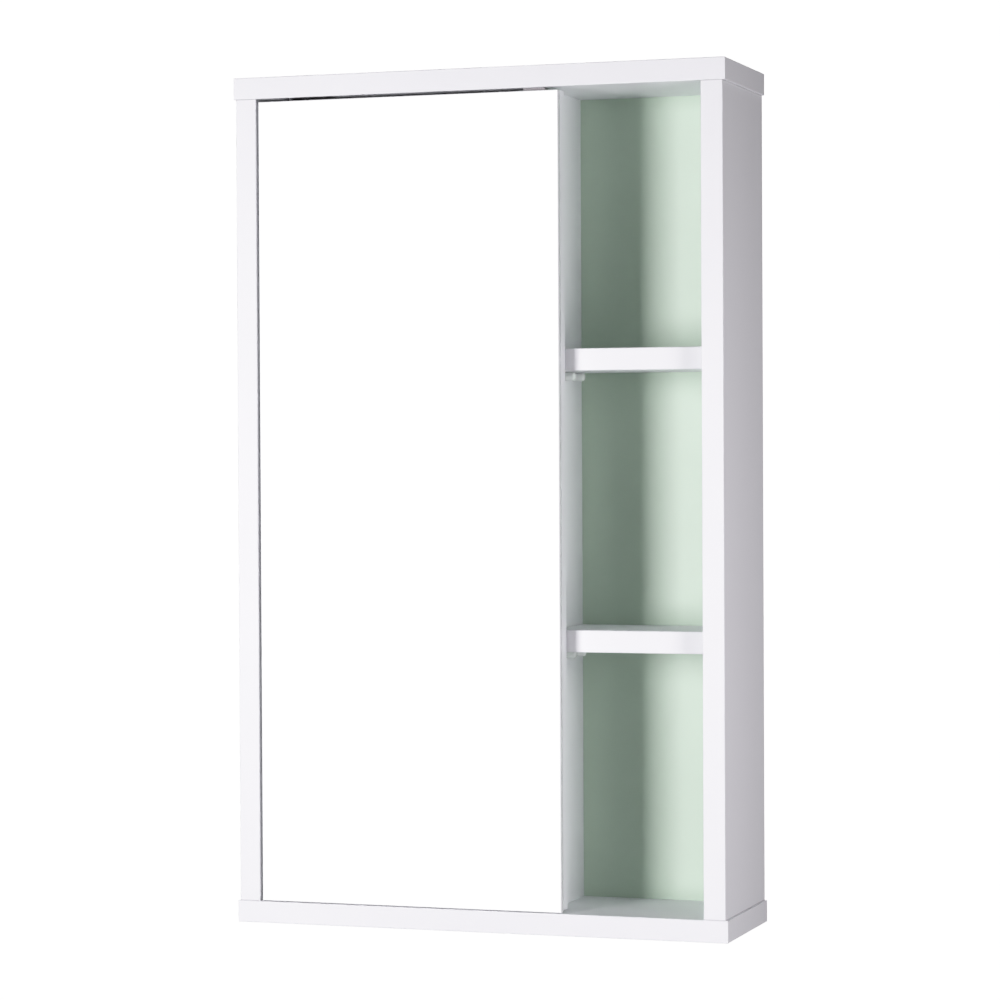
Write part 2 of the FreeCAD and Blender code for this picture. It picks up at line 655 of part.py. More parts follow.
def joinery():
    """A cam lock, its bolt and a dowel at both ends of the three uprights, and the rails' dowels."""
    side_cam = cam_lock("side_cam", "side_thickness")
    divider_cam = cam_lock("divider_cam", "divider_thickness")
    bolt = cam_bolt()
    dowel = small_rod("dowel", "dowel_diameter", "dowel_length")
    # A cam's own +Z comes out of the board and its own +X, the open end of its slot, meets the bolt
    slot_down = ALONG_X
    slot_up = ALONG_X.multiply(HALF_TURN)
    left_floor = f"({INNER_LEFT} - {cam_bore_depth('side_thickness')})"
    divider_floor = f"({DIVIDER_LEFT} + {cam_bore_depth('divider_thickness')})"
    right_floor = f"({INNER_RIGHT} + {cam_bore_depth('side_thickness')})"
    foot = "(cap_thickness + cam_backset)"
    head = f"({CEILING} - cam_backset)"
    buried = "(dowel_shallow_bore - dowel_end_play)"
    cams, bolts, dowels = [], [], []
    for cam, cam_x, middle, facing in (
        (side_cam, left_floor, "(cap_overhang + side_thickness / 2)", UPRIGHT),
        (divider_cam, divider_floor, DIVIDER_MIDDLE, HALF_TURN),
        (side_cam, right_floor, f"({INNER_RIGHT} + side_thickness / 2)", HALF_TURN),
    ):
        cams.append((cam, (cam_x, CAM_LINE, foot), facing.multiply(slot_down)))
        cams.append((cam, (cam_x, CAM_LINE, head), facing.multiply(slot_up)))
        bolts.append((bolt, (middle, CAM_LINE, "(cap_thickness - bolt_thread_length)"), UPRIGHT))
        bolts.append((bolt, (middle, CAM_LINE, f"({CEILING} + bolt_thread_length)"), UPSIDE_DOWN))
        dowels.append((dowel, (middle, "dowel_front_line", f"(cap_thickness - {buried})"), UPRIGHT))
        dowels.append((dowel, (middle, "dowel_front_line", f"({CEILING} + {buried})"), UPSIDE_DOWN))
    set_of("cam_locks", cams)
    set_of("cam_bolts", bolts)
    set_of("panel_dowels", dowels)

    rail_dowels = []
    for line in (LOWER_SCREW_LINE, UPPER_SCREW_LINE):
        for offset in RAIL_DOWEL_OFFSETS:
            height = f"({line} {offset})"
            rail_dowels.append((dowel, (f"({INNER_LEFT} - {buried})", RAIL_LINE, height), ALONG_X))
            rail_dowels.append((dowel, (f"({INNER_RIGHT} + {buried})", RAIL_LINE, height), AGAINST_X))
    set_of("rail_dowels", rail_dowels)


def door_leaf():
    """Mirror glass bonded to a board that is let in for the hinge plates and the strike."""
    size = (DOOR_WIDTH, "mirror_thickness", DOOR_HEIGHT)
    glass = board("mirror_glass", (DOOR_LEFT, "0", DOOR_BOTTOM), size)
    dress_edges(glass, "Chamfer", is_front, "Size", "mirror_arris")
    at = (f"({DOOR_LEFT} + adhesive_inset)", "mirror_thickness", f"({DOOR_BOTTOM} + adhesive_inset)")
    width = f"({DOOR_WIDTH} - 2 * adhesive_inset)"
    height = f"({DOOR_HEIGHT} - 2 * adhesive_inset)"
    board("mirror_adhesive", at, (width, "adhesive_thickness", height))

    size = (DOOR_WIDTH, "door_board_thickness", DOOR_HEIGHT)
    door = board("door_board", (DOOR_LEFT, BOARD_FRONT, DOOR_BOTTOM), size)
    rear = SIZES["door_board_thickness"] - TOUCH
    dress_edges(door, "Chamfer", lambda box: box.YMin > rear, "Size", "edge_radius")
    row = f"({PLATE_LINE} - {BOARD_FRONT})"
    screws = [(f"(pivot_inset + {along})", row) for along in HINGE_SCREWS]
    for end, lift, forward in (("foot", "0", True), ("head", DOOR_HEIGHT, False)):
        plate_mortise(door, end + "_plate", lift, ("pivot_inset", row), PLATE_SPAN, forward)
        small_bores(door, end + "_screws", "XY_Plane", lift, screws, SCREW_BORE, SCREW_REACH, forward)
    strike = f"({STRIKE_X} - {DOOR_LEFT})"
    screws = [(f"({strike} + {along})", row) for along in STRIKE_SCREWS]
    plate_mortise(door, "strike", DOOR_HEIGHT, (strike, row), "strike_span", False)
    small_bores(door, "strike_screws", "XY_Plane", DOOR_HEIGHT, screws, SCREW_BORE, SCREW_REACH, False)

    bumper = small_rod("bumper", "bumper_diameter", "(door_gap_rear - bumper_play)", sides=PEG_SIDES)
    heights = (f"({DOOR_BOTTOM} + bumper_inset)", f"({DOOR_TOP} - bumper_inset)")
    set_of("door_bumpers", [(bumper, (DIVIDER_MIDDLE, DOOR_BACK, height), ALONG_Y) for height in heights])


def plate(name, stem, screws, span):
    """A round-ended steel plate lying on its face, and the cutters for its countersunk holes."""
    stock = joined(name + "_stock", [
        block(name + "_middle", (span, "plate_width", "plate_thickness"), ("0", "-plate_width / 2", "0")),
        rod(name + "_near_end", "plate_width", "plate_thickness"),
        rod(name + "_far_end", "plate_width", "plate_thickness", (span, "0", "0")),
        *stem,
    ])
    sink_depth = "(screw_head_height + screw_clearance)"
    sink_diameter = "(screw_head_diameter + 2 * screw_clearance)"
    sink_foot = f"(plate_thickness - {sink_depth})"
    cutters = []
    for index, along in enumerate(screws):
        hole = small_rod(f"{name}_hole_{index}", SCREW_BORE, "plate_thickness", (along, "0", "0"))
        at = (along, "0", sink_foot)
        sink = small_taper(f"{name}_sink_{index}", SCREW_BORE, sink_diameter, sink_depth, at)
        cutters += [hole, sink]
    return stock, cutters


def pivot_plate(end, gap, at, turn, pin_line):
    """The door's plate with the pin that it turns on."""
    length = f"(plate_thickness + {gap} + plate_thickness + bush_depth)"
    pin = rod(f"{end}_pin", "pivot_diameter", length, ("0", pin_line, "0"))
    stock, cutters = plate(f"{end}_pivot", [pin], HINGE_SCREWS, PLATE_SPAN)
    hinge = cut_from(f"{end}_pivot_plate", stock, cutters)
    place(hinge, at, turn)
    finish(hinge, f"{end}_pivot_plate")


def bush_plate(end, at, turn):
    """The cap's plate with the bush that the pin runs in."""
    bush = rod(f"{end}_bush", "bush_diameter", "bush_depth", ("0", "0", "-bush_depth"))
    stock, cutters = plate(f"{end}_bush", [bush], HINGE_SCREWS, PLATE_SPAN)
    running = "(pivot_diameter + 2 * pivot_clearance)"
    length = "(plate_thickness + bush_depth)"
    cutters.append(rod(f"{end}_bush_hole", running, length, ("0", "0", "-bush_depth")))
    hinge = cut_from(f"{end}_bush_plate", stock, cutters)
    place(hinge, at, turn)
    finish(hinge, f"{end}_bush_plate")


def pivot_hinges():
    """Pinned plates let into the door's ends, turning in bush plates let into the two caps."""
    upper_door = (PIVOT_X, PLATE_LINE, f"({DOOR_TOP} - plate_thickness)")
    lower_door = (PIVOT_X, PLATE_LINE, f"({DOOR_BOTTOM} + plate_thickness)")
    pivot_plate("upper", "door_gap_top", upper_door, UPRIGHT, "-pivot_lead")
    pivot_plate("lower", "door_gap_bottom", lower_door, UPSIDE_DOWN, "pivot_lead")
    bush_plate("upper", (PIVOT_X, PIVOT_LINE, f"({CEILING} + plate_thickness)"), UPSIDE_DOWN)
    bush_plate("lower", (PIVOT_X, PIVOT_LINE, "(cap_thickness - plate_thickness)"), UPRIGHT)

    thickness = "(door_gap_bottom - washer_play)"
    disc = rod("washer_disc", "washer_diameter", thickness)
    hole = rod("washer_hole", "(pivot_diameter + 2 * washer_clearance)", thickness)
    washer = cut_from("thrust_washer", disc, [hole])
    place(washer, (PIVOT_X, PIVOT_LINE, "cap_thickness"))
    finish(washer, "thrust_washer")


def plate_screws():
    """Countersunk screws of the hinge plates and the strike, heads level with the plates."""
    shank_length = f"({SCREW_LENGTH} - screw_head_height - screw_tip_length)"
    head_at = ("0", "0", f"({SCREW_LENGTH} - screw_head_height)")
    tip_at = ("0", "0", "0")
    screw = joined("plate_screw", [
        small_taper("screw_tip", "screw_tip_diameter", "screw_diameter", "screw_tip_length", tip_at),
        small_rod("screw_shank", "screw_diameter", shank_length, ("0", "0", "screw_tip_length")),
        small_taper("screw_head", "screw_diameter", "screw_head_diameter", "screw_head_height", head_at),
    ])
    in_door, in_caps = [], []
    for along in HINGE_SCREWS:
        x = f"({PIVOT_X} + {along})"
        in_door.append((screw, (x, PLATE_LINE, f"({DOOR_TOP} - {SCREW_LENGTH})"), UPRIGHT))
        in_door.append((screw, (x, PLATE_LINE, f"({DOOR_BOTTOM} + {SCREW_LENGTH})"), UPSIDE_DOWN))
        in_caps.append((screw, (x, PIVOT_LINE, f"({CEILING} + {SCREW_LENGTH})"), UPSIDE_DOWN))
        in_caps.append((screw, (x, PIVOT_LINE, f"(cap_thickness - {SCREW_LENGTH})"), UPRIGHT))
    set_of("pivot_plate_screws", in_door)
    set_of("bush_plate_screws", in_caps)
    foot = f"({DOOR_TOP} - {SCREW_LENGTH})"
    in_strike = [(screw, (f"({STRIKE_X} + {along})", PLATE_LINE, foot), UPRIGHT) for along in STRIKE_SCREWS]
    set_of("catch_strike_screws", in_strike)


def magnetic_catch():
    """A magnet in a housing under the top panel, which holds the strike on the door's top edge."""
    drop = "(door_gap_top - catch_play)"
    magnet_size = ("magnet_width", "magnet_depth", "magnet_height")
    magnet_corner = ("(catch_width - magnet_width) / 2", "(catch_depth - magnet_depth) / 2", "0")
    left = f"({CATCH_X} - catch_width / 2)"
    front = f"({PLATE_LINE} - catch_depth / 2)"
    low = f"({CEILING} - {drop})"
    shell_size = ("catch_width", "catch_depth", f"(catch_embedding + {drop})")
    shell = block("catch_shell", shell_size, ("0", "0", "0"))
    housing = cut_from("catch_housing", shell, [block("magnet_seat", magnet_size, magnet_corner)])
    place(housing, (left, front, low))
    finish(housing, "catch_housing")
    magnet = block("catch_magnet", magnet_size, ("0", "0", "0"))
    place(magnet, (f"({left} + {magnet_corner[0]})", f"({front} + {magnet_corner[1]})", low))
    finish(magnet, "catch_magnet")
    stock, cutters = plate("strike", [], STRIKE_SCREWS, "strike_span")
    strike = cut_from("catch_strike", stock, cutters)
    place(strike, (STRIKE_X, PLATE_LINE, f"({DOOR_TOP} - plate_thickness)"))
    finish(strike, "catch_strike")


def check_and_export():
    doc.recompute()
    for item in doc.Objects:
        if "Invalid" in item.State or "Error" in item.State:
            raise RuntimeError(f"{item.Name} failed: {item.State}")
    for item in sub_parts:
        if item.Shape.isNull() or not item.Shape.isValid():
            raise RuntimeError(f"{item.Label} has no valid shape")
    os.makedirs("parts", exist_ok=True)
    for item in sub_parts:
        item.Shape.exportStep(f"parts/{item.Label}.step")
    print(len(sub_parts), "sub-parts,", sum(len(item.Shape.Solids) for item in sub_parts), "solids")


cap_panels()
side_panels()
divider_panel()
back_and_rails()
shelves_and_pegs()
joinery()
door_leaf()
pivot_hinges()
plate_screws()
magnetic_catch()
check_and_export()
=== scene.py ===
"""Looks of the mirror cabinet: its finishes, its small turned fittings, the studio and the camera.

Everything is in metres in the cabinet's own frame: +X right, +Y into the wall, +Z up.
"""
import math

import bmesh
import bpy
from mathutils import Matrix, Vector


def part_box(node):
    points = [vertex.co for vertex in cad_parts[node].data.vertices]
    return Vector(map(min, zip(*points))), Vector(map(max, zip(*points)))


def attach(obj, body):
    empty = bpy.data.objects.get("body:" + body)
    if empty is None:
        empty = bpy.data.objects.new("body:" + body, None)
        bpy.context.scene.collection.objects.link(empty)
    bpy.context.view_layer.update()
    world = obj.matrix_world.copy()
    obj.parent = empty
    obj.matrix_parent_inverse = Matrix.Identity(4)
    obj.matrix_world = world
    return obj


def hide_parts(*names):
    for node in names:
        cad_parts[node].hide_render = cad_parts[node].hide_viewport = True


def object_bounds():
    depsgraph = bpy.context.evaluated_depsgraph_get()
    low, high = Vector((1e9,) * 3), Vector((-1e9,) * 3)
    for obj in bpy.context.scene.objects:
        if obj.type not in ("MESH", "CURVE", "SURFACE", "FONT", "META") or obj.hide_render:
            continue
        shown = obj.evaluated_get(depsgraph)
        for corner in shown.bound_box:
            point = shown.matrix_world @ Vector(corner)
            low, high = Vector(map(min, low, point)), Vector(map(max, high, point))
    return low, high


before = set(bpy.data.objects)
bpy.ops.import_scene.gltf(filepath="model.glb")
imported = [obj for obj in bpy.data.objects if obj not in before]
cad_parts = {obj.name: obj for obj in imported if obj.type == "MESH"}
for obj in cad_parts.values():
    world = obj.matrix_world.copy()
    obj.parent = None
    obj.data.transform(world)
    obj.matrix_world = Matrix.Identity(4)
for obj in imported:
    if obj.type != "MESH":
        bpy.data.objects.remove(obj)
cad_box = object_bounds()

MM = 0.001

# Camera, as the photograph was taken
CAMERA_PLACE = (0.9347, -2.5947, -0.2578)
CAMERA_TURN = math.radians(18.761)
CAMERA_TILT = math.radians(-0.8474)
CAMERA_ROLL = math.radians(-0.2744)
CAMERA_LENS = 116.27
CAMERA_SENSOR = 36.0

# Studio
FLOOR_DROP = 1.25
FLOOR_RADIUS = 3.0
FLOOR_RINGS = 24
FLOOR_SECTORS = 96
FLOOR_FADE_START = 0.25 * FLOOR_RADIUS
BACKDROP_WHITE = 1.42
MIRRORED_WHITE = 1.5
MIRRORED_BEHIND = 0.7
SHEEN_IN_FRONT = 0.1
SHEEN_BEHIND = 0.4
AMBIENT = 0.01
FLOOR_GLOW = 0.05
FLOOR_SEEN = 0.8
FRONT_TO_REAR = 0.3
KEY = {"place": (-0.85, -2.1, -0.31), "size": (0.6, 1.2), "power": 51.5}
FILL = {"place": (0.92, -0.60, -0.42), "size": (0.28, 1.0), "power": 5.1}
SIDE = {"place": (0.68, -0.185, -0.33), "size": (0.12, 0.9), "power": 0.45}
REAR = {"place": (-0.45, 1.15, 0.75), "size": (1.5, 2.0), "power": 44.0}
LAMP_TINT = (1.0, 0.96, 1.01)
FILL_TINT = (1.0, 0.94, 1.0)
SHOULDER = ((0.2, 0.2), (0.45, 0.45), (0.7, 0.67), (1.0, 0.87), (1.2, 0.95), (1.4, 1.0))
ALL_COLOURS_CURVE = 3

# Finishes, linear colours
LACQUER_WHITE = (0.80, 0.822, 0.832)
LACQUER_DEEP = (0.78, 0.802, 0.813)
# Dark joint line where the caps meet the side panels, deepened with painted shade
SEAM_AND_SHADOW_DARK = (0.18, 0.17, 0.18)
BACK_GREEN = (0.55, 0.69, 0.55)
BACK_GREEN_DEEP = (0.53, 0.67, 0.53)
FIBRE_BROWN = (0.33, 0.215, 0.125)
FIBRE_DARK = (0.215, 0.135, 0.075)
CHIP_LIGHT = (0.56, 0.42, 0.26)
CHIP_DARK = (0.30, 0.20, 0.11)
SILVER = (0.955, 0.96, 0.96)
GLASS_EDGE = (0.80, 0.815, 0.82)
TAPE_WHITE = (0.72, 0.72, 0.71)
ZINC_BRIGHT = (0.55, 0.555, 0.57)
ZINC_DULL = (0.42, 0.425, 0.44)
# Near-black pivot plates: painted shade, so their pin in the gap above the door shows no glint
PIVOT_SHADE_GREY = (0.15, 0.15, 0.157)
PIVOT_SHADE_DARK = (0.11, 0.11, 0.116)
CAST_ZINC = (0.43, 0.435, 0.45)
CAST_ZINC_DARK = (0.33, 0.335, 0.345)
PEG_MILK = (0.78, 0.83, 0.79)
NYLON = (0.47, 0.455, 0.42)
CATCH_GREY = (0.33, 0.315, 0.32)
FERRITE = (0.035, 0.035, 0.038)
FERRITE_LIGHT = (0.075, 0.073, 0.07)
BEECH = (0.58, 0.385, 0.215)
BEECH_DARK = (0.42, 0.255, 0.13)
BUMPER_CLEAR = (0.80, 0.81, 0.80)
FLOOR_PALE = (0.86, 0.86, 0.865)

# Edge bands of the boards, and the seams at the side panels' ends: dark joint lines with painted shade
# where the caps overhang
BAND_WIDTH = 1.0 * MM
BAND_LINE = 0.16 * MM
BAND_LINE_SHARE = 0.28
BAND_LINE_SHADE = 0.62
BAND_LINE_SINK = -1.2
SEAM_AND_SHADOW_WIDTH = 0.9 * MM
SIDE_SEAM_AND_SHADOW = 0.55

# Depths of the fine relief on each surface
LACQUER_RELIEF = 0.012 * MM
SHEET_RELIEF = 0.03 * MM
CHIP_RELIEF = 4.0
TAPE_RELIEF = 0.08 * MM
FERRITE_RELIEF = 0.04 * MM
BEECH_RELIEF = 0.05 * MM

# Light that sinks into the soft plastics
PLASTIC_GLOW = {"Subsurface_Radius": (1.0, 1.0, 1.0), "Subsurface_Scale": 1.5 * MM}

# Roughness of bare fibre, and what bare chips add to the board's own
FIBRE_ROUGHNESS = 0.85
BARE_CHIPS_ADD = 0.35

# How dark the clouds in a finish get, as shares of its colour
GLASS_EDGE_CLOUD = 0.9
TAPE_CLOUD = 0.8
FLOOR_CLOUD = 0.97

# How closely a face has to look one way to count as facing it
FACING_LIMIT = 0.9

# Shares of the two patterns in each group's blend
DIMPLE_SHARE = 0.4
CLOUD_SHARE = 0.6
STREAK_SHARE = 0.7
PATCH_SHARE = 0.3
CHIP_SHARE = 0.35
GRAIN_SHARE = 0.65

# Directions of drawing and grain, as repeats in a metre
DRAWN_ALONG_X = (60.0, 2500.0, 2500.0)
DRAWN_ALONG_Z = (2500.0, 2500.0, 60.0)
CAST_EVENLY = (900.0, 900.0, 900.0)
GRAIN_UPRIGHT = (700.0, 700.0, 45.0)
GRAIN_LEVEL = (45.0, 700.0, 700.0)

# Turned fittings and the glass that replace their plainer solids
WELD = 0.001 * MM
PEG_STEM_LENGTH = 7.8 * MM
PEG_STEM_RADIUS = 2.5 * MM
PEG_RADIUS = 3.5 * MM
PEG_NOSE = 1.9 * MM
CRISP_STEP = 0.15 * MM
SCREW_SHANK_RADIUS = 1.5 * MM
SCREW_HEAD_RADIUS = 2.95 * MM
SCREW_HEAD_FLARE = 1.45 * MM
SCREW_PROUD = 0.12 * MM
SCREW_TIP = 3.0 * MM
RECESS_SPAN = 3.2 * MM
RECESS_WIDTH = 0.75 * MM
RECESS_DEPTH = 1.1 * MM
SCREW_POINT = 0.2
BUMPER_RADIUS = 4.0 * MM
BUMPER_DOME = 0.85
GLASS_CLEARANCE = 0.5 * MM
GLASS_ARRIS = 0.6 * MM
FITTING_STEPS = 96
FITTING_SIDES = 28
SMOOTH_ANGLE = math.radians(32)


def node(tree, kind, inputs=None, **settings):
    """Add a node. An input is given a value, or the socket that feeds it."""
    made = tree.nodes.new(kind)
    for name, value in settings.items():
        setattr(made, name, value)
    for name, value in (inputs or {}).items():
        if isinstance(value, bpy.types.NodeSocket):
            tree.links.new(value, made.inputs[name])
        else:
            made.inputs[name].default_value = value
    return made


def math_node(tree, operation, *values, clamp=False):
    """A calculation on one to three values, as a socket."""
    inputs = dict(enumerate(values))
    return node(tree, "ShaderNodeMath", inputs, operation=operation, use_clamp=clamp).outputs[0]


def vector_node(tree, operation, *values, output="Vector"):
    """A calculation on vectors, as a socket."""
    inputs = dict(enumerate(values))
    return node(tree, "ShaderNodeVectorMath", inputs, operation=operation).outputs[output]


def mix_colour(tree, share, low, high):
    """Blend two colours. A Mix node keeps its colour sockets at 6 and 7, and its colour result at 2."""
    return node(tree, "ShaderNodeMix", {0: share, 6: low, 7: high}, data_type="RGBA").outputs[2]


def spread(tree, value, low, high):
    """Map a value from 0..1 to low..high."""
    settings = {"Value": value, "To Min": low, "To Max": high}
    return node(tree, "ShaderNodeMapRange", settings).outputs["Result"]


def step_down(tree, value, start, end):
    """1 below start, 0 above end, smooth between."""
    settings = {"Value": value, "From Min": start, "From Max": end, "To Min": 1.0, "To Max": 0.0}
    return node(tree, "ShaderNodeMapRange", settings, interpolation_type="SMOOTHSTEP").outputs["Result"]


def opaque(colour):
    """A colour with its alpha."""
    return (*colour, 1.0)


def shaded(colour, share):
    """A colour made darker, to that share of itself."""
    return tuple(share * part for part in colour)


def shader_group(name, inputs, outputs):
    """A shader node group with named sockets, and its input and output nodes."""
    tree = bpy.data.node_groups.new(name, "ShaderNodeTree")
    for label, (kind, value) in inputs.items():
        socket = tree.interface.new_socket(label, in_out="INPUT", socket_type=kind)
        socket.default_value = value
    for label, kind in outputs.items():
        tree.interface.new_socket(label, in_out="OUTPUT", socket_type=kind)
    return tree, tree.nodes.new("NodeGroupInput"), tree.nodes.new("NodeGroupOutput")


COLOUR = "NodeSocketColor"
VALUE = "NodeSocketFloat"
VECTOR = "NodeSocketVector"
WHITE = (1.0, 1.0, 1.0, 1.0)


def make_skin_group():
    """Sprayed or moulded skin: cloudy colour, uneven gloss and a fine dimpled height."""
    inputs = {
        "Colour": (COLOUR, WHITE),
        "Deep Colour": (COLOUR, WHITE),
        "Cloud Scale": (VALUE, 7.0),
        "Dimple Scale": (VALUE, 900.0),
        "Low Roughness": (VALUE, 0.35),
        "High Roughness": (VALUE, 0.45),
    }
    outputs = {"Colour": COLOUR, "Roughness": VALUE, "Height": VALUE}
    tree, given, result = shader_group("surface_skin", inputs, outputs)
    where = node(tree, "ShaderNodeTexCoord").outputs["Object"]
    cloud_scale = given.outputs["Cloud Scale"]
    cloud_settings = {"Vector": where, "Scale": cloud_scale, "Detail": 4.0, "Roughness": 0.6}
    cloud = node(tree, "ShaderNodeTexNoise", cloud_settings).outputs[0]
    dimple_settings = {"Vector": where, "Scale": given.outputs["Dimple Scale"], "Detail": 2.0}
    dimple = node(tree, "ShaderNodeTexNoise", dimple_settings).outputs[0]
    colour = mix_colour(tree, cloud, given.outputs["Colour"], given.outputs["Deep Colour"])
    cloudy = math_node(tree, "MULTIPLY", cloud, CLOUD_SHARE)
    gloss = math_node(tree, "MULTIPLY_ADD", dimple, DIMPLE_SHARE, cloudy)
    rough = spread(tree, gloss, given.outputs["Low Roughness"], given.outputs["High Roughness"])
    tree.links.new(colour, result.inputs["Colour"])
    tree.links.new(rough, result.inputs["Roughness"])
    tree.links.new(dimple, result.inputs["Height"])
    return tree


def make_band_group():
    """Hairline beside the band glued round a board's edges, and the mask of the seam at its upper and lower
    ends, which carries a dark joint line and painted shade.
    """
    inputs = {
        "Low Corner": (VECTOR, (0.0, 0.0, 0.0)),
        "High Corner": (VECTOR, (1.0, 1.0, 1.0)),
        "Face Axis": (VECTOR, (0.0, 0.0, 1.0)),
        "Band": (VALUE, BAND_WIDTH),
        "Line": (VALUE, BAND_LINE),
        "Seam": (VALUE, SEAM_AND_SHADOW_WIDTH),
    }
    outputs = {"Line": VALUE, "Seam": VALUE}
    tree, given, result = shader_group("edge_band", inputs, outputs)
    coords = node(tree, "ShaderNodeTexCoord")
    from_low = vector_node(tree, "SUBTRACT", coords.outputs["Object"], given.outputs["Low Corner"])
    from_high = vector_node(tree, "SUBTRACT", given.outputs["High Corner"], coords.outputs["Object"])
    nearer = vector_node(tree, "MINIMUM", from_low, from_high)
    near = node(tree, "ShaderNodeSeparateXYZ", {0: nearer}).outputs
    # The middle one of the three distances is the way to the nearest edge of the board
    lesser = math_node(tree, "MINIMUM", near["X"], near["Y"])
    greater = math_node(tree, "MAXIMUM", near["X"], near["Y"])
    to_edge = math_node(tree, "MAXIMUM", lesser, math_node(tree, "MINIMUM", greater, near["Z"]))
    off_line = math_node(tree, "ABSOLUTE", math_node(tree, "SUBTRACT", to_edge, given.outputs["Band"]))
    line = step_down(tree, off_line, 0.0, given.outputs["Line"])
    axis = given.outputs["Face Axis"]
    facing = vector_node(tree, "DOT_PRODUCT", coords.outputs["Normal"], axis, output="Value")
    on_face = math_node(tree, "GREATER_THAN", math_node(tree, "ABSOLUTE", facing), FACING_LIMIT)
    tree.links.new(math_node(tree, "MULTIPLY", line, on_face), result.inputs["Line"])
    tree.links.new(step_down(tree, near["Z"], 0.0, given.outputs["Seam"]), result.inputs["Seam"])
    return tree


def make_facing_group():
    """Mask of the faces that look one way."""
    tree, given, result = shader_group("facing", {"Way": (VECTOR, (0.0, -1.0, 0.0))}, {"Mask": VALUE})
    normal = node(tree, "ShaderNodeTexCoord").outputs["Normal"]
    facing = vector_node(tree, "DOT_PRODUCT", normal, given.outputs["Way"], output="Value")
    tree.links.new(math_node(tree, "GREATER_THAN", facing, FACING_LIMIT), result.inputs["Mask"])
    return tree


def make_metal_group():
    """Plated or cast metal: drawn streaks, crystal patches and uneven gloss."""
    inputs = {
        "Colour": (COLOUR, WHITE),
        "Dull Colour": (COLOUR, WHITE),
        "Streaks": (VECTOR, DRAWN_ALONG_X),
        "Patch Scale": (VALUE, 350.0),
        "Low Roughness": (VALUE, 0.2),
        "High Roughness": (VALUE, 0.4),
    }
    outputs = {"Colour": COLOUR, "Roughness": VALUE, "Height": VALUE}
    tree, given, result = shader_group("worked_metal", inputs, outputs)
    where = node(tree, "ShaderNodeTexCoord").outputs["Object"]
    drawn = vector_node(tree, "MULTIPLY", where, given.outputs["Streaks"])
    streak = node(tree, "ShaderNodeTexNoise", {"Vector": drawn, "Scale": 1.0, "Detail": 3.0}).outputs[0]
    patch_settings = {"Vector": where, "Scale": given.outputs["Patch Scale"], "Randomness": 1.0}
    patch = node(tree, "ShaderNodeTexVoronoi", patch_settings).outputs["Color"]
    patchy = math_node(tree, "MULTIPLY", patch, PATCH_SHARE)
    blend = math_node(tree, "MULTIPLY_ADD", streak, STREAK_SHARE, patchy)
    colour = mix_colour(tree, blend, given.outputs["Colour"], given.outputs["Dull Colour"])
    rough = spread(tree, blend, given.outputs["Low Roughness"], given.outputs["High Roughness"])
    tree.links.new(colour, result.inputs["Colour"])
    tree.links.new(rough, result.inputs["Roughness"])
    tree.links.new(streak, result.inputs["Height"])
    return tree


def make_fibre_group():
    """Pressed wood: long fibres or flat chips, by how far the pattern is stretched."""
    inputs = {
        "Colour": (COLOUR, WHITE),
        "Dark Colour": (COLOUR, WHITE),
        "Stretch": (VECTOR, (400.0, 400.0, 400.0)),
        "Contrast": (VALUE, 1.5),
    }
    tree, given, result = shader_group("wood_fibre", inputs, {"Colour": COLOUR, "Height": VALUE})
    where = node(tree, "ShaderNodeTexCoord").outputs["Object"]
    pulled = vector_node(tree, "MULTIPLY", where, given.outputs["Stretch"])
    fine_settings = {"Vector": pulled, "Scale": 1.0, "Detail": 6.0, "Roughness": 0.7, "Distortion": 0.4}
    fine = node(tree, "ShaderNodeTexNoise", fine_settings).outputs[0]
    chips = node(tree, "ShaderNodeTexVoronoi", {"Vector": pulled, "Scale": 0.8}).outputs["Color"]
    grain = math_node(tree, "MULTIPLY", fine, GRAIN_SHARE)
    blend = math_node(tree, "MULTIPLY_ADD", chips, CHIP_SHARE, grain)
    centred = math_node(tree, "SUBTRACT", blend, 0.5)
    share = math_node(tree, "MULTIPLY_ADD", centred, given.outputs["Contrast"], 0.5, clamp=True)
    colour = mix_colour(tree, share, given.outputs["Colour"], given.outputs["Dark Colour"])
    tree.links.new(colour, result.inputs["Colour"])
    tree.links.new(fine, result.inputs["Height"])
    return tree


SKIN = make_skin_group()
BAND = make_band_group()
FACING = make_facing_group()
METAL = make_metal_group()
FIBRE = make_fibre_group()


def grouped(tree, group, values=None):
    """Place a node group in a material and return its outputs."""
    made = node(tree, "ShaderNodeGroup", node_tree=group)
    for name, value in (values or {}).items():
        made.inputs[name].default_value = value
    return made.outputs


def finish_of(name, **constants):
    """A material with a Principled shader whose even values are set on its own sockets."""
    material = bpy.data.materials.new(name)
    material.use_nodes = True
    tree = material.node_tree
    tree.nodes.clear()
    shader = tree.nodes.new("ShaderNodeBsdfPrincipled")
    for label, value in constants.items():
        shader.inputs[label.replace("_", " ")].default_value = value
    surface = tree.nodes.new("ShaderNodeOutputMaterial")
    tree.links.new(shader.outputs["BSDF"], surface.inputs["Surface"])
    return material, tree, shader


def feed(tree, shader, height_depth=None, **sockets):
    """Link sockets to the shader, and a height through a bump of that depth in metres."""
    for label, socket in sockets.items():
        if label == "Height":
            settings = {"Height": socket, "Strength": 1.0, "Distance": height_depth}
            bump = node(tree, "ShaderNodeBump", settings)
            tree.links.new(bump.outputs["Normal"], shader.inputs["Normal"])
        else:
            tree.links.new(socket, shader.inputs[label.replace("_", " ")])


def feed_relief(tree, shader, depth, group):
    """Link a group's own colour, gloss and height to the shader."""
    colour, rough, height = (group[label] for label in ("Colour", "Roughness", "Height"))
    feed(tree, shader, depth, Base_Color=colour, Roughness=rough, Height=height)


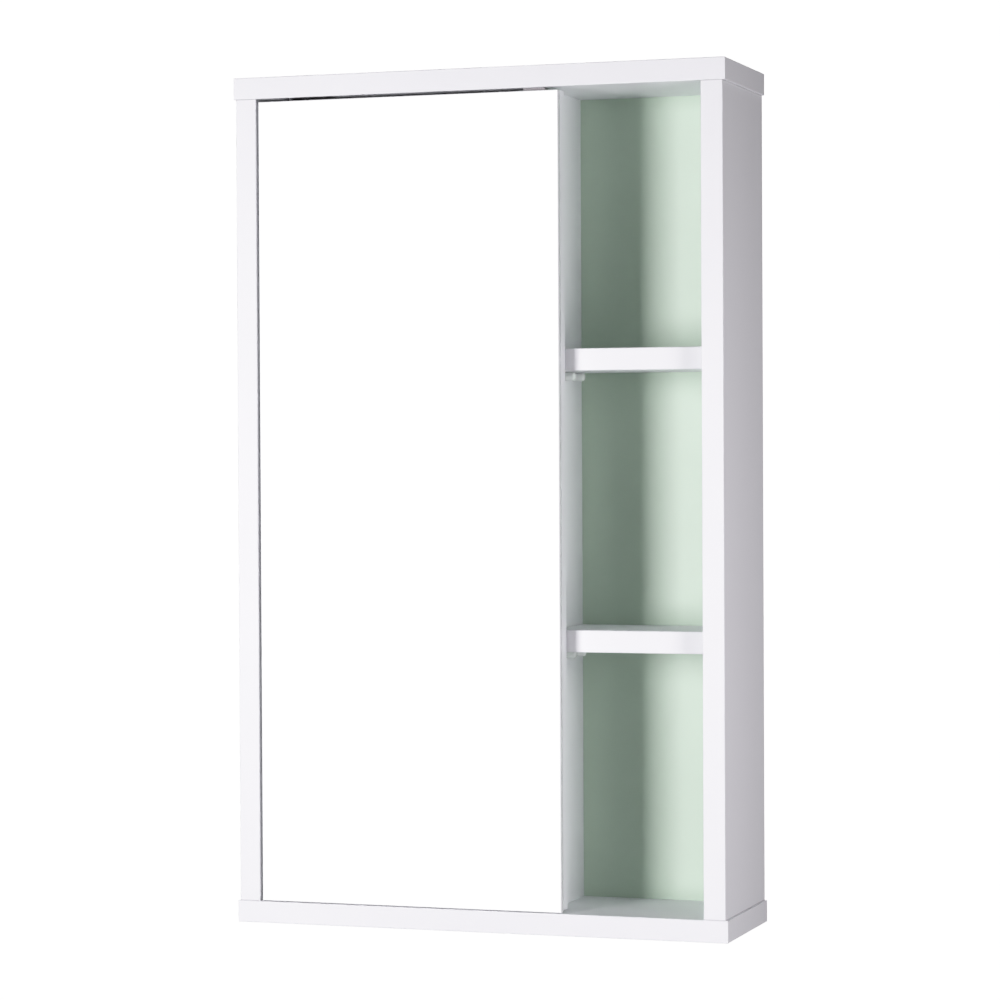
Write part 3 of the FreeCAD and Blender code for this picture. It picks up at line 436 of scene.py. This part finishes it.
def lacquered_board(name, seam_and_shadow=0.0):
    """Satin white board with its own edge bands, placed by the board's corners, and end seams of that
    depth: dark joint lines with painted shade where the caps meet the panel.
    """
    low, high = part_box(name)
    size = high - low
    thin = min(range(3), key=lambda axis: size[axis])
    face_axis = tuple(1.0 if axis == thin else 0.0 for axis in range(3))
    material, tree, shader = finish_of("white_lacquer_" + name, IOR=1.48, Specular_IOR_Level=0.42)
    skin = grouped(tree, SKIN, {
        "Colour": opaque(LACQUER_WHITE),
        "Deep Colour": opaque(LACQUER_DEEP),
        "Low Roughness": 0.36,
        "High Roughness": 0.48,
    })
    band = grouped(tree, BAND, {"Low Corner": low, "High Corner": high, "Face Axis": face_axis})
    line = math_node(tree, "MULTIPLY", band["Line"], BAND_LINE_SHARE)
    shade = shaded(LACQUER_WHITE, BAND_LINE_SHADE)
    colour = mix_colour(tree, line, skin["Colour"], opaque(shade))
    # End seams: a dark joint line with painted shade where the caps meet the panel
    if seam_and_shadow:
        seam_and_shadow_share = math_node(tree, "MULTIPLY", band["Seam"], seam_and_shadow)
        colour = mix_colour(tree, seam_and_shadow_share, colour, opaque(SEAM_AND_SHADOW_DARK))
    sunk = math_node(tree, "MULTIPLY_ADD", band["Line"], BAND_LINE_SINK, skin["Height"])
    feed(tree, shader, LACQUER_RELIEF, Base_Color=colour, Roughness=skin["Roughness"], Height=sunk)
    return material


def green_back():
    """Sheet with a matt pale green face and a bare pressed-fibre rear."""
    material, tree, shader = finish_of("green_back_sheet", Specular_IOR_Level=0.6)
    skin = grouped(tree, SKIN, {
        "Colour": opaque(BACK_GREEN),
        "Deep Colour": opaque(BACK_GREEN_DEEP),
        "Cloud Scale": 16.0,
        "Dimple Scale": 1400.0,
        "Low Roughness": 0.40,
        "High Roughness": 0.52,
    })
    fibre = grouped(tree, FIBRE, {
        "Colour": opaque(FIBRE_BROWN),
        "Dark Colour": opaque(FIBRE_DARK),
        "Stretch": (900.0, 900.0, 420.0),
    })
    front = grouped(tree, FACING, {"Way": (0.0, -1.0, 0.0)})["Mask"]
    colour = mix_colour(tree, front, fibre["Colour"], skin["Colour"])
    bare_rough = math_node(tree, "SUBTRACT", FIBRE_ROUGHNESS, front)
    rough = math_node(tree, "MAXIMUM", skin["Roughness"], bare_rough)
    feed(tree, shader, SHEET_RELIEF, Base_Color=colour, Roughness=rough, Height=skin["Height"])
    return material


def rail_board():
    """White-faced chipboard whose long edges are left bare."""
    material, tree, shader = finish_of("chipboard_rail", Specular_IOR_Level=0.4)
    skin = grouped(tree, SKIN, {
        "Colour": opaque(LACQUER_WHITE),
        "Deep Colour": opaque(LACQUER_DEEP),
        "Low Roughness": 0.42,
        "High Roughness": 0.55,
    })
    chips = grouped(tree, FIBRE, {
        "Colour": opaque(CHIP_LIGHT),
        "Dark Colour": opaque(CHIP_DARK),
        "Stretch": (260.0, 900.0, 260.0),
        "Contrast": 2.2,
    })
    above = grouped(tree, FACING, {"Way": (0.0, 0.0, 1.0)})["Mask"]
    below = grouped(tree, FACING, {"Way": (0.0, 0.0, -1.0)})["Mask"]
    bare = math_node(tree, "ADD", above, below)
    colour = mix_colour(tree, bare, skin["Colour"], chips["Colour"])
    rough = math_node(tree, "MULTIPLY_ADD", bare, BARE_CHIPS_ADD, skin["Roughness"])
    chipped = math_node(tree, "MULTIPLY", bare, chips["Height"])
    height = math_node(tree, "MULTIPLY_ADD", chipped, CHIP_RELIEF, skin["Height"])
    feed(tree, shader, SHEET_RELIEF, Base_Color=colour, Roughness=rough, Height=height)
    return material


def silvered_mirror():
    """Silvered face, with the ground and polished edges of the glass round it."""
    material, tree, shader = finish_of("silvered_mirror", IOR=1.52, Coat_Weight=0.3, Coat_Roughness=0.0)
    front = grouped(tree, FACING, {"Way": (0.0, -1.0, 0.0)})["Mask"]
    skin = grouped(tree, SKIN, {
        "Colour": opaque(GLASS_EDGE),
        "Deep Colour": opaque(shaded(GLASS_EDGE, GLASS_EDGE_CLOUD)),
        "Cloud Scale": 60.0,
        "Low Roughness": 0.12,
        "High Roughness": 0.24,
    })
    colour = mix_colour(tree, front, skin["Colour"], opaque(SILVER))
    ground = math_node(tree, "SUBTRACT", 1.0, front)
    rough = math_node(tree, "MULTIPLY", skin["Roughness"], ground)
    feed(tree, shader, Base_Color=colour, Metallic=front, Roughness=rough)
    return material


def bonding_tape():
    """White foam tape between the glass and its board."""
    material, tree, shader = finish_of("bonding_tape", Specular_IOR_Level=0.2)
    skin = grouped(tree, SKIN, {
        "Colour": opaque(TAPE_WHITE),
        "Deep Colour": opaque(shaded(TAPE_WHITE, TAPE_CLOUD)),
        "Cloud Scale": 240.0,
        "Dimple Scale": 2600.0,
        "Low Roughness": 0.75,
        "High Roughness": 0.95,
    })
    feed_relief(tree, shader, TAPE_RELIEF, skin)
    return material


def worked_metal(name, colour, dull, streaks, low, high, depth):
    """A bright or dull metal with its own direction of drawing or casting."""
    material, tree, shader = finish_of(name, Metallic=1.0)
    metal = grouped(tree, METAL, {
        "Colour": opaque(colour),
        "Dull Colour": opaque(dull),
        "Streaks": streaks,
        "Low Roughness": low,
        "High Roughness": high,
    })
    feed_relief(tree, shader, depth, metal)
    return material


def moulded_plastic(name, colour, deep, dimple, low, high, depth, **constants):
    """Plastic with the fine texture of its mould."""
    material, tree, shader = finish_of(name, **constants)
    skin = grouped(tree, SKIN, {
        "Colour": opaque(colour),
        "Deep Colour": opaque(shaded(colour, deep)),
        "Cloud Scale": 130.0,
        "Dimple Scale": dimple,
        "Low Roughness": low,
        "High Roughness": high,
    })
    feed_relief(tree, shader, depth, skin)
    return material


def ferrite():
    """Dark sintered magnet with a faint sparkle."""
    material, tree, shader = finish_of("ferrite_magnet", Specular_IOR_Level=0.5)
    skin = grouped(tree, SKIN, {
        "Colour": opaque(FERRITE),
        "Deep Colour": opaque(FERRITE_LIGHT),
        "Cloud Scale": 700.0,
        "Dimple Scale": 3000.0,
        "Low Roughness": 0.45,
        "High Roughness": 0.7,
    })
    feed_relief(tree, shader, FERRITE_RELIEF, skin)
    return material


def beech(name, stretch):
    """Plain beech with its grain along the dowel."""
    material, tree, shader = finish_of(name, Roughness=0.62, Specular_IOR_Level=0.3)
    fibre = grouped(tree, FIBRE, {
        "Colour": opaque(BEECH),
        "Dark Colour": opaque(BEECH_DARK),
        "Stretch": stretch,
        "Contrast": 1.2,
    })
    feed(tree, shader, BEECH_RELIEF, Base_Color=fibre["Colour"], Height=fibre["Height"])
    return material


def paint(material, *names):
    """Give CAD nodes their finish."""
    for name in names:
        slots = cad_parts[name].material_slots
        if not slots:
            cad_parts[name].data.materials.append(material)
        for slot in slots:
            slot.material = material


def solids_of(name):
    """Lowest and highest corners of each separate solid in a CAD node."""
    work = bmesh.new()
    work.from_mesh(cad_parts[name].data)
    bmesh.ops.remove_doubles(work, verts=work.verts, dist=WELD)
    seen = set()
    boxes = []
    for start in work.verts:
        if start in seen:
            continue
        seen.add(start)
        waiting = [start]
        low, high = start.co.copy(), start.co.copy()
        while waiting:
            corner = waiting.pop()
            low = Vector(map(min, low, corner.co))
            high = Vector(map(max, high, corner.co))
            for edge in corner.link_edges:
                other = edge.other_vert(corner)
                if other not in seen:
                    seen.add(other)
                    waiting.append(other)
        boxes.append((low, high))
    work.free()
    return boxes


FITTING_INPUTS = {
    "Length": VALUE,
    "Foot Radius": VALUE,
    "Foot Length": VALUE,
    "Flare Length": VALUE,
    "Body Radius": VALUE,
    "Nose Length": VALUE,
    "Tip Length": VALUE,
    "Steps": "NodeSocketInt",
    "Sides": "NodeSocketInt",
    "Cross Recess": "NodeSocketBool",
    "Recess Span": VALUE,
    "Recess Width": VALUE,
    "Recess Depth": VALUE,
    "Finish": "NodeSocketMaterial",
}


def fitting_radius(tree, given, along):
    """Radius along a turned fitting: pointed tip, foot, flare, body and rounded nose."""
    past_foot = math_node(tree, "SUBTRACT", along, given["Foot Length"])
    flare = math_node(tree, "DIVIDE", past_foot, given["Flare Length"], clamp=True)
    step = math_node(tree, "SUBTRACT", given["Body Radius"], given["Foot Radius"])
    radius = math_node(tree, "MULTIPLY_ADD", flare, step, given["Foot Radius"])
    nose_foot = math_node(tree, "SUBTRACT", given["Length"], given["Nose Length"])
    into_nose = math_node(tree, "SUBTRACT", along, nose_foot)
    nose = math_node(tree, "DIVIDE", into_nose, given["Nose Length"], clamp=True)
    squared = math_node(tree, "MULTIPLY", nose, nose)
    round_off = math_node(tree, "SQRT", math_node(tree, "SUBTRACT", 1.0, squared))
    point = math_node(tree, "DIVIDE", along, given["Tip Length"], clamp=True)
    point = math_node(tree, "MULTIPLY_ADD", point, 1.0 - SCREW_POINT, SCREW_POINT)
    return math_node(tree, "MULTIPLY", math_node(tree, "MULTIPLY", radius, round_off), point)


def cross_cutter(tree, given):
    """Two crossed bars that cut the driver's recess into a screw's head."""
    bars = []
    # The bars are centred on the head's face, so half of their depth cuts
    deep = math_node(tree, "MULTIPLY", given["Recess Depth"], 2.0)
    for first, second in (("Recess Span", "Recess Width"), ("Recess Width", "Recess Span")):
        size = node(tree, "ShaderNodeCombineXYZ", {"X": given[first], "Y": given[second], "Z": deep})
        bars.append(node(tree, "GeometryNodeMeshCube", {"Size": size.outputs[0]}).outputs["Mesh"])
    both = node(tree, "GeometryNodeMeshBoolean", operation="UNION")
    for bar in bars:
        tree.links.new(bar, both.inputs["Mesh 2"])
    lift = node(tree, "ShaderNodeCombineXYZ", {"Z": given["Length"]}).outputs[0]
    settings = {"Geometry": both.outputs["Mesh"], "Translation": lift}
    return node(tree, "GeometryNodeTransform", settings).outputs["Geometry"]


def make_fitting_tree():
    """Turned fittings set on points, each pointing along the point's own way."""
    tree = bpy.data.node_groups.new("turned_fittings", "GeometryNodeTree")
    tree.interface.new_socket("Places", in_out="INPUT", socket_type="NodeSocketGeometry")
    for label, kind in FITTING_INPUTS.items():
        tree.interface.new_socket(label, in_out="INPUT", socket_type=kind)
    tree.interface.new_socket("Fittings", in_out="OUTPUT", socket_type="NodeSocketGeometry")
    given = tree.nodes.new("NodeGroupInput").outputs
    end = node(tree, "ShaderNodeCombineXYZ", {"Z": given["Length"]}).outputs[0]
    axis = node(tree, "GeometryNodeCurvePrimitiveLine", {"End": end}).outputs["Curve"]
    step_settings = {"Curve": axis, "Count": given["Steps"]}
    axis = node(tree, "GeometryNodeResampleCurve", step_settings).outputs["Curve"]
    along = node(tree, "GeometryNodeSplineParameter").outputs["Length"]
    radius = fitting_radius(tree, given, along)
    ring_settings = {"Resolution": given["Sides"], "Radius": 1.0}
    ring = node(tree, "GeometryNodeCurvePrimitiveCircle", ring_settings).outputs["Curve"]
    swept_settings = {"Curve": axis, "Profile Curve": ring, "Scale": radius, "Fill Caps": True}
    swept = node(tree, "GeometryNodeCurveToMesh", swept_settings).outputs["Mesh"]
    weld_settings = {"Geometry": swept, "Distance": WELD}
    turned = node(tree, "GeometryNodeMergeByDistance", weld_settings).outputs["Geometry"]
    cut_settings = {"Mesh 1": turned, "Mesh 2": cross_cutter(tree, given)}
    cut = node(tree, "GeometryNodeMeshBoolean", cut_settings, operation="DIFFERENCE").outputs["Mesh"]
    choice = {"Switch": given["Cross Recess"], "False": turned, "True": cut}
    fitting = node(tree, "GeometryNodeSwitch", choice, input_type="GEOMETRY").outputs["Output"]
    way = node(tree, "GeometryNodeInputNamedAttribute", {"Name": "way"}, data_type="FLOAT_VECTOR")
    turn = node(tree, "FunctionNodeAlignRotationToVector", {"Vector": way.outputs["Attribute"]}, axis="Z")
    set_settings = {"Points": given["Places"], "Instance": fitting, "Rotation": turn.outputs["Rotation"]}
    placed = node(tree, "GeometryNodeInstanceOnPoints", set_settings).outputs["Instances"]
    real = node(tree, "GeometryNodeRealizeInstances", {"Geometry": placed}).outputs["Geometry"]
    painted_settings = {"Geometry": real, "Material": given["Finish"]}
    painted = node(tree, "GeometryNodeSetMaterial", painted_settings).outputs["Geometry"]
    tree.links.new(painted, tree.nodes.new("NodeGroupOutput").inputs["Fittings"])
    return tree


FITTINGS = make_fitting_tree()


def turned_fittings(name, body, replaced, places, sizes):
    """Make one set of turned fittings as a plain mesh that rides on its body."""
    mesh = bpy.data.meshes.new(name + "_places")
    mesh.from_pydata([place for place, way in places], [], [])
    ways = mesh.attributes.new("way", "FLOAT_VECTOR", "POINT")
    for entry, (place, way) in zip(ways.data, places):
        entry.vector = way
    piece = bpy.data.objects.new(name, mesh)
    bpy.context.scene.collection.objects.link(piece)
    modifier = piece.modifiers.new("fittings", "NODES")
    modifier.node_group = FITTINGS
    given = (item for item in FITTINGS.interface.items_tree if item.in_out == "INPUT")
    sockets = {item.name: item.identifier for item in given}
    for label, value in {"Steps": FITTING_STEPS, "Sides": FITTING_SIDES, **sizes}.items():
        modifier[sockets[label]] = value
    graph = bpy.context.evaluated_depsgraph_get()
    made = bpy.data.meshes.new_from_object(piece.evaluated_get(graph))
    piece.modifiers.clear()
    piece.data = made
    bpy.data.meshes.remove(mesh)
    made.name = name
    made.shade_smooth()
    made.set_sharp_from_angle(angle=SMOOTH_ANGLE)
    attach(piece, body)
    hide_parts(replaced)


def shelf_pegs(milky):
    """Round-nosed pegs out of both walls of each bay, pointing into the bay."""
    for name in ("open_shelf_pegs", "inner_shelf_pegs"):
        low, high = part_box(name)
        bay_middle = (low.x + high.x) / 2
        places = []
        for peg_low, peg_high in solids_of(name):
            middle = (peg_low + peg_high) / 2
            inward = 1.0 if middle.x < bay_middle else -1.0
            foot = peg_low.x if inward > 0 else peg_high.x
            places.append(((foot, middle.y, middle.z), (inward, 0.0, 0.0)))
            length = peg_high.x - peg_low.x
        turned_fittings("round_" + name, "carcass", name, places, {
            "Length": length,
            "Foot Radius": PEG_STEM_RADIUS,
            "Foot Length": PEG_STEM_LENGTH,
            "Flare Length": CRISP_STEP,
            "Body Radius": PEG_RADIUS,
            "Nose Length": PEG_NOSE,
            "Tip Length": CRISP_STEP,
            "Finish": milky,
        })


def plate_screws(plated):
    """Cross-recessed countersunk screws, a hair proud of their plates."""
    door_middle = sum(corner.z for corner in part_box("door_board")) / 2
    for name, body, heads_out in (
        ("pivot_plate_screws", "door", True),
        ("bush_plate_screws", "carcass", False),
        ("catch_strike_screws", "door", True),
    ):
        places = []
        for low, high in solids_of(name):
            middle = (low + high) / 2
            upper = middle.z > door_middle
            up = 1.0 if upper == heads_out else -1.0
            tip = low.z if up > 0 else high.z
            places.append(((middle.x, middle.y, tip), (0.0, 0.0, up)))
            length = high.z - low.z
        turned_fittings("cross_" + name, body, name, places, {
            "Length": length + SCREW_PROUD,
            "Foot Radius": SCREW_SHANK_RADIUS,
            "Foot Length": length - SCREW_HEAD_FLARE,
            "Flare Length": SCREW_HEAD_FLARE,
            "Body Radius": SCREW_HEAD_RADIUS,
            "Nose Length": WELD,
            "Tip Length": SCREW_TIP,
            "Cross Recess": True,
            "Recess Span": RECESS_SPAN,
            "Recess Width": RECESS_WIDTH,
            "Recess Depth": RECESS_DEPTH,
            "Finish": plated,
        })


def door_bumpers(clear):
    """Soft domes on the door's rear face, where it meets the divider."""
    places = []
    for low, high in solids_of("door_bumpers"):
        middle = (low + high) / 2
        places.append(((middle.x, low.y, middle.z), (0.0, 1.0, 0.0)))
        height = high.y - low.y
    turned_fittings("domed_bumpers", "door", "door_bumpers", places, {
        "Length": height,
        "Foot Radius": BUMPER_RADIUS,
        "Foot Length": 0.0,
        "Flare Length": CRISP_STEP,
        "Body Radius": BUMPER_RADIUS,
        "Nose Length": BUMPER_DOME * height,
        "Tip Length": WELD,
        "Finish": clear,
    })


def hung_glass(silvered):
    """The mirror's glass with ground arrises, reaching down past its board to the bottom panel."""
    low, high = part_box("mirror_glass")
    low.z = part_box("bottom_panel")[1].z + GLASS_CLEARANCE
    work = bmesh.new()
    sized = Matrix.Translation((low + high) / 2) @ Matrix.Diagonal((*(high - low), 1.0))
    bmesh.ops.create_cube(work, size=1.0, matrix=sized)
    arrises = [edge for edge in work.edges if all(end.co.y - low.y < WELD for end in edge.verts)]
    bmesh.ops.bevel(work, geom=arrises, offset=GLASS_ARRIS, segments=1, profile=0.5, affect="EDGES")
    mesh = bpy.data.meshes.new("hung_mirror_glass")
    work.to_mesh(mesh)
    work.free()
    mesh.materials.append(silvered)
    piece = bpy.data.objects.new("hung_mirror_glass", mesh)
    bpy.context.scene.collection.objects.link(piece)
    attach(piece, "door")
    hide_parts("mirror_glass")
    return piece


def dress_cabinet():
    """Every node's finish, and the fittings and glass that replace plainer solids. Returns the glass."""
    for name in (
        "top_panel", "bottom_panel", "left_side_panel", "right_side_panel", "divider_panel",
        "open_shelf_lower", "open_shelf_upper", "inner_shelf_lower", "inner_shelf_upper", "door_board",
    ):
        # Side panels get end seams, dark joint lines with painted shade where the caps meet them
        paint(lacquered_board(name, SIDE_SEAM_AND_SHADOW if name.endswith("side_panel") else 0.0), name)
    paint(green_back(), "back_panel")
    paint(rail_board(), "upper_hanging_rail", "lower_hanging_rail")
    silvered = silvered_mirror()
    paint(silvered, "mirror_glass")
    paint(bonding_tape(), "mirror_adhesive")
    flat_plate = worked_metal(
        "zinc_plate", ZINC_BRIGHT, ZINC_DULL, DRAWN_ALONG_X, low=0.22, high=0.40, depth=0.006 * MM)
    turned_steel = worked_metal(
        "plated_screw", ZINC_BRIGHT, ZINC_DULL, DRAWN_ALONG_Z, low=0.20, high=0.36, depth=0.004 * MM)
    cast = worked_metal(
        "cast_zinc", CAST_ZINC, CAST_ZINC_DARK, CAST_EVENLY, low=0.38, high=0.58, depth=0.02 * MM)
    # The pivot plates are painted near-black: painted shade that keeps their pin dark in the gap above the
    # door
    pivot_shade_finish = worked_metal(
        "shade_dark_pivot_plate", PIVOT_SHADE_GREY, PIVOT_SHADE_DARK, DRAWN_ALONG_X, low=0.60, high=0.76, depth=0.008 * MM)
    paint(pivot_shade_finish, "upper_pivot_plate", "lower_pivot_plate")
    paint(flat_plate, "upper_bush_plate", "lower_bush_plate", "catch_strike")
    paint(turned_steel, "cam_bolts", "pivot_plate_screws", "bush_plate_screws", "catch_strike_screws")
    paint(cast, "cam_locks")
    paint(beech("beech_upright", GRAIN_UPRIGHT), "panel_dowels")
    paint(beech("beech_level", GRAIN_LEVEL), "rail_dowels")
    nylon = moulded_plastic(
        "natural_nylon", NYLON, deep=0.9, dimple=1500.0, low=0.38, high=0.52, depth=0.01 * MM,
        Subsurface_Weight=0.2, **PLASTIC_GLOW)
    grey = moulded_plastic(
        "grey_catch_plastic", CATCH_GREY, deep=0.88, dimple=1600.0, low=0.42, high=0.58, depth=0.02 * MM)
    milky = moulded_plastic(
        "milky_peg_plastic", PEG_MILK, deep=0.93, dimple=1200.0, low=0.18, high=0.30, depth=0.004 * MM,
        Subsurface_Weight=0.35, **PLASTIC_GLOW)
    clear = moulded_plastic(
        "clear_bumper", BUMPER_CLEAR, deep=0.95, dimple=1100.0, low=0.22, high=0.34, depth=0.004 * MM,
        Transmission_Weight=0.6)
    paint(nylon, "thrust_washer")
    paint(grey, "catch_housing")
    paint(ferrite(), "catch_magnet")
    paint(milky, "open_shelf_pegs", "inner_shelf_pegs")
    paint(clear, "door_bumpers")
    shelf_pegs(milky)
    plate_screws(turned_steel)
    door_bumpers(clear)
    return hung_glass(silvered)


def area_light(name, target, place, size, power, tint=LAMP_TINT):
    """A soft rectangular lamp that faces a point."""
    lamp = bpy.data.lights.new(name, "AREA")
    lamp.shape = "RECTANGLE"
    lamp.size, lamp.size_y = size
    lamp.energy = power
    lamp.color = tint
    holder = bpy.data.objects.new(name, lamp)
    holder.location = place
    holder.rotation_euler = (Vector(target) - Vector(place)).to_track_quat("-Z", "Y").to_euler()
    holder.visible_camera = False
    bpy.context.scene.collection.objects.link(holder)
    return holder


def pale_floor(centre, height):
    """A round pale floor far below the hung cabinet, which fades out at its rim."""
    work = bmesh.new()
    rings = []
    middle = work.verts.new((centre.x, centre.y, height))
    for ring in range(1, FLOOR_RINGS + 1):
        radius = FLOOR_RADIUS * ring / FLOOR_RINGS
        row = []
        for sector in range(FLOOR_SECTORS):
            angle = 2 * math.pi * sector / FLOOR_SECTORS
            x = centre.x + radius * math.cos(angle)
            y = centre.y + radius * math.sin(angle)
            row.append(work.verts.new((x, y, height)))
        rings.append(row)
    for sector in range(FLOOR_SECTORS):
        after = (sector + 1) % FLOOR_SECTORS
        work.faces.new((middle, rings[0][sector], rings[0][after]))
        for inner, outer in zip(rings, rings[1:]):
            work.faces.new((inner[sector], outer[sector], outer[after], inner[after]))
    mesh = bpy.data.meshes.new("studio_floor")
    work.to_mesh(mesh)
    work.free()
    floor = bpy.data.objects.new("studio_floor", mesh)
    bpy.context.scene.collection.objects.link(floor)
    material, tree, shader = finish_of("pale_floor", Specular_IOR_Level=0.2)
    skin = grouped(tree, SKIN, {
        "Colour": opaque(FLOOR_PALE),
        "Deep Colour": opaque(shaded(FLOOR_PALE, FLOOR_CLOUD)),
        "Cloud Scale": 1.5,
        "Dimple Scale": 300.0,
        "Low Roughness": 0.6,
        "High Roughness": 0.8,
    })
    where = node(tree, "ShaderNodeTexCoord").outputs["Object"]
    away = vector_node(tree, "DISTANCE", where, (centre.x, centre.y, height), output="Value")
    fade = step_down(tree, away, FLOOR_FADE_START, FLOOR_RADIUS)
    shader.inputs["Emission Color"].default_value = opaque(FLOOR_PALE)
    seen = node(tree, "ShaderNodeLightPath").outputs["Is Camera Ray"]
    tree.links.new(spread(tree, seen, FLOOR_GLOW, FLOOR_SEEN), shader.inputs["Emission Strength"])
    feed(tree, shader, Base_Color=skin["Colour"], Roughness=skin["Roughness"], Alpha=fade)
    mesh.materials.append(material)


def white_surroundings():
    """A backdrop that is white to the eye and in the mirror, and dim to the surfaces it lights."""
    world = bpy.data.worlds.new("white_studio")
    world.use_nodes = True
    tree = world.node_tree
    tree.nodes.clear()
    path = node(tree, "ShaderNodeLightPath").outputs
    way = node(tree, "ShaderNodeTexCoord").outputs["Generated"]
    to_rear = node(tree, "ShaderNodeSeparateXYZ", {0: way}).outputs["Y"]
    in_front = step_down(tree, to_rear, -FRONT_TO_REAR, FRONT_TO_REAR)
    sheen = spread(tree, in_front, SHEEN_BEHIND, SHEEN_IN_FRONT)
    mirrored = spread(tree, in_front, MIRRORED_BEHIND, MIRRORED_WHITE)
    strength = spread(tree, path["Is Glossy Ray"], AMBIENT, sheen)
    strength = spread(tree, path["Is Singular Ray"], strength, mirrored)
    strength = spread(tree, path["Is Camera Ray"], strength, BACKDROP_WHITE)
    seen = node(tree, "ShaderNodeBackground", {"Color": WHITE, "Strength": strength}).outputs["Background"]
    node(tree, "ShaderNodeOutputWorld", {"Surface": seen})
    bpy.context.scene.world = world


def keep_out_of_mirror(lamp, mirror):
    """Leave a lamp out of the mirror, which then shows the even white surroundings."""
    unlit = bpy.data.collections.new("unlit_mirror")
    unlit.objects.link(mirror)
    unlit.collection_objects[0].light_linking.link_state = "EXCLUDE"
    lamp.light_linking.receiver_collection = unlit


def studio(mirror):
    """White surroundings, a pale floor, a softbox at the left front, two cards at the right, one behind."""
    low, high = cad_box
    middle = (low + high) / 2
    white_surroundings()
    pale_floor(middle, low.z - FLOOR_DROP)
    # One softbox as two lamps: its plain light falls on everything, its gloss stays off the mirror
    key = area_light("key_softbox", middle, **KEY)
    key.visible_glossy = False
    gloss = area_light("key_gloss", middle, **KEY)
    gloss.visible_diffuse = False
    gloss.visible_transmission = False
    keep_out_of_mirror(gloss, mirror)
    area_light("fill_card", (high.x, middle.y, middle.z), **FILL, tint=FILL_TINT)
    area_light("side_card", (high.x, low.y, middle.z), **SIDE, tint=FILL_TINT)
    area_light("rear_card", (middle.x, high.y, middle.z), **REAR)


def camera_response():
    """Plain colours, with the soft shoulder that keeps white boards apart from the white backdrop."""
    settings = bpy.context.scene.view_settings
    settings.view_transform = "Standard"
    settings.look = "None"
    settings.use_curve_mapping = True
    mapping = settings.curve_mapping
    mapping.clip_max_x = SHOULDER[-1][0]
    curve = mapping.curves[ALL_COLOURS_CURVE]
    curve.points[0].location = (0.0, 0.0)
    curve.points[1].location = SHOULDER[-1]
    for place in SHOULDER[:-1]:
        curve.points.new(*place)
    mapping.update()


def photograph_camera():
    """The camera that took the photograph, turned, tilted and rolled in its place."""
    lens = bpy.data.cameras.new("photograph_camera")
    lens.lens = CAMERA_LENS
    lens.sensor_width = CAMERA_SENSOR
    camera = bpy.data.objects.new("photograph_camera", lens)
    turn = Matrix.Rotation(CAMERA_TURN, 4, "Z")
    tilt = Matrix.Rotation(math.radians(90) + CAMERA_TILT, 4, "X")
    roll = Matrix.Rotation(CAMERA_ROLL, 4, "Z")
    camera.matrix_world = Matrix.Translation(CAMERA_PLACE) @ turn @ tilt @ roll
    bpy.context.scene.collection.objects.link(camera)
    bpy.context.scene.camera = camera


mirror = dress_cabinet()
studio(mirror)
photograph_camera()
camera_response()
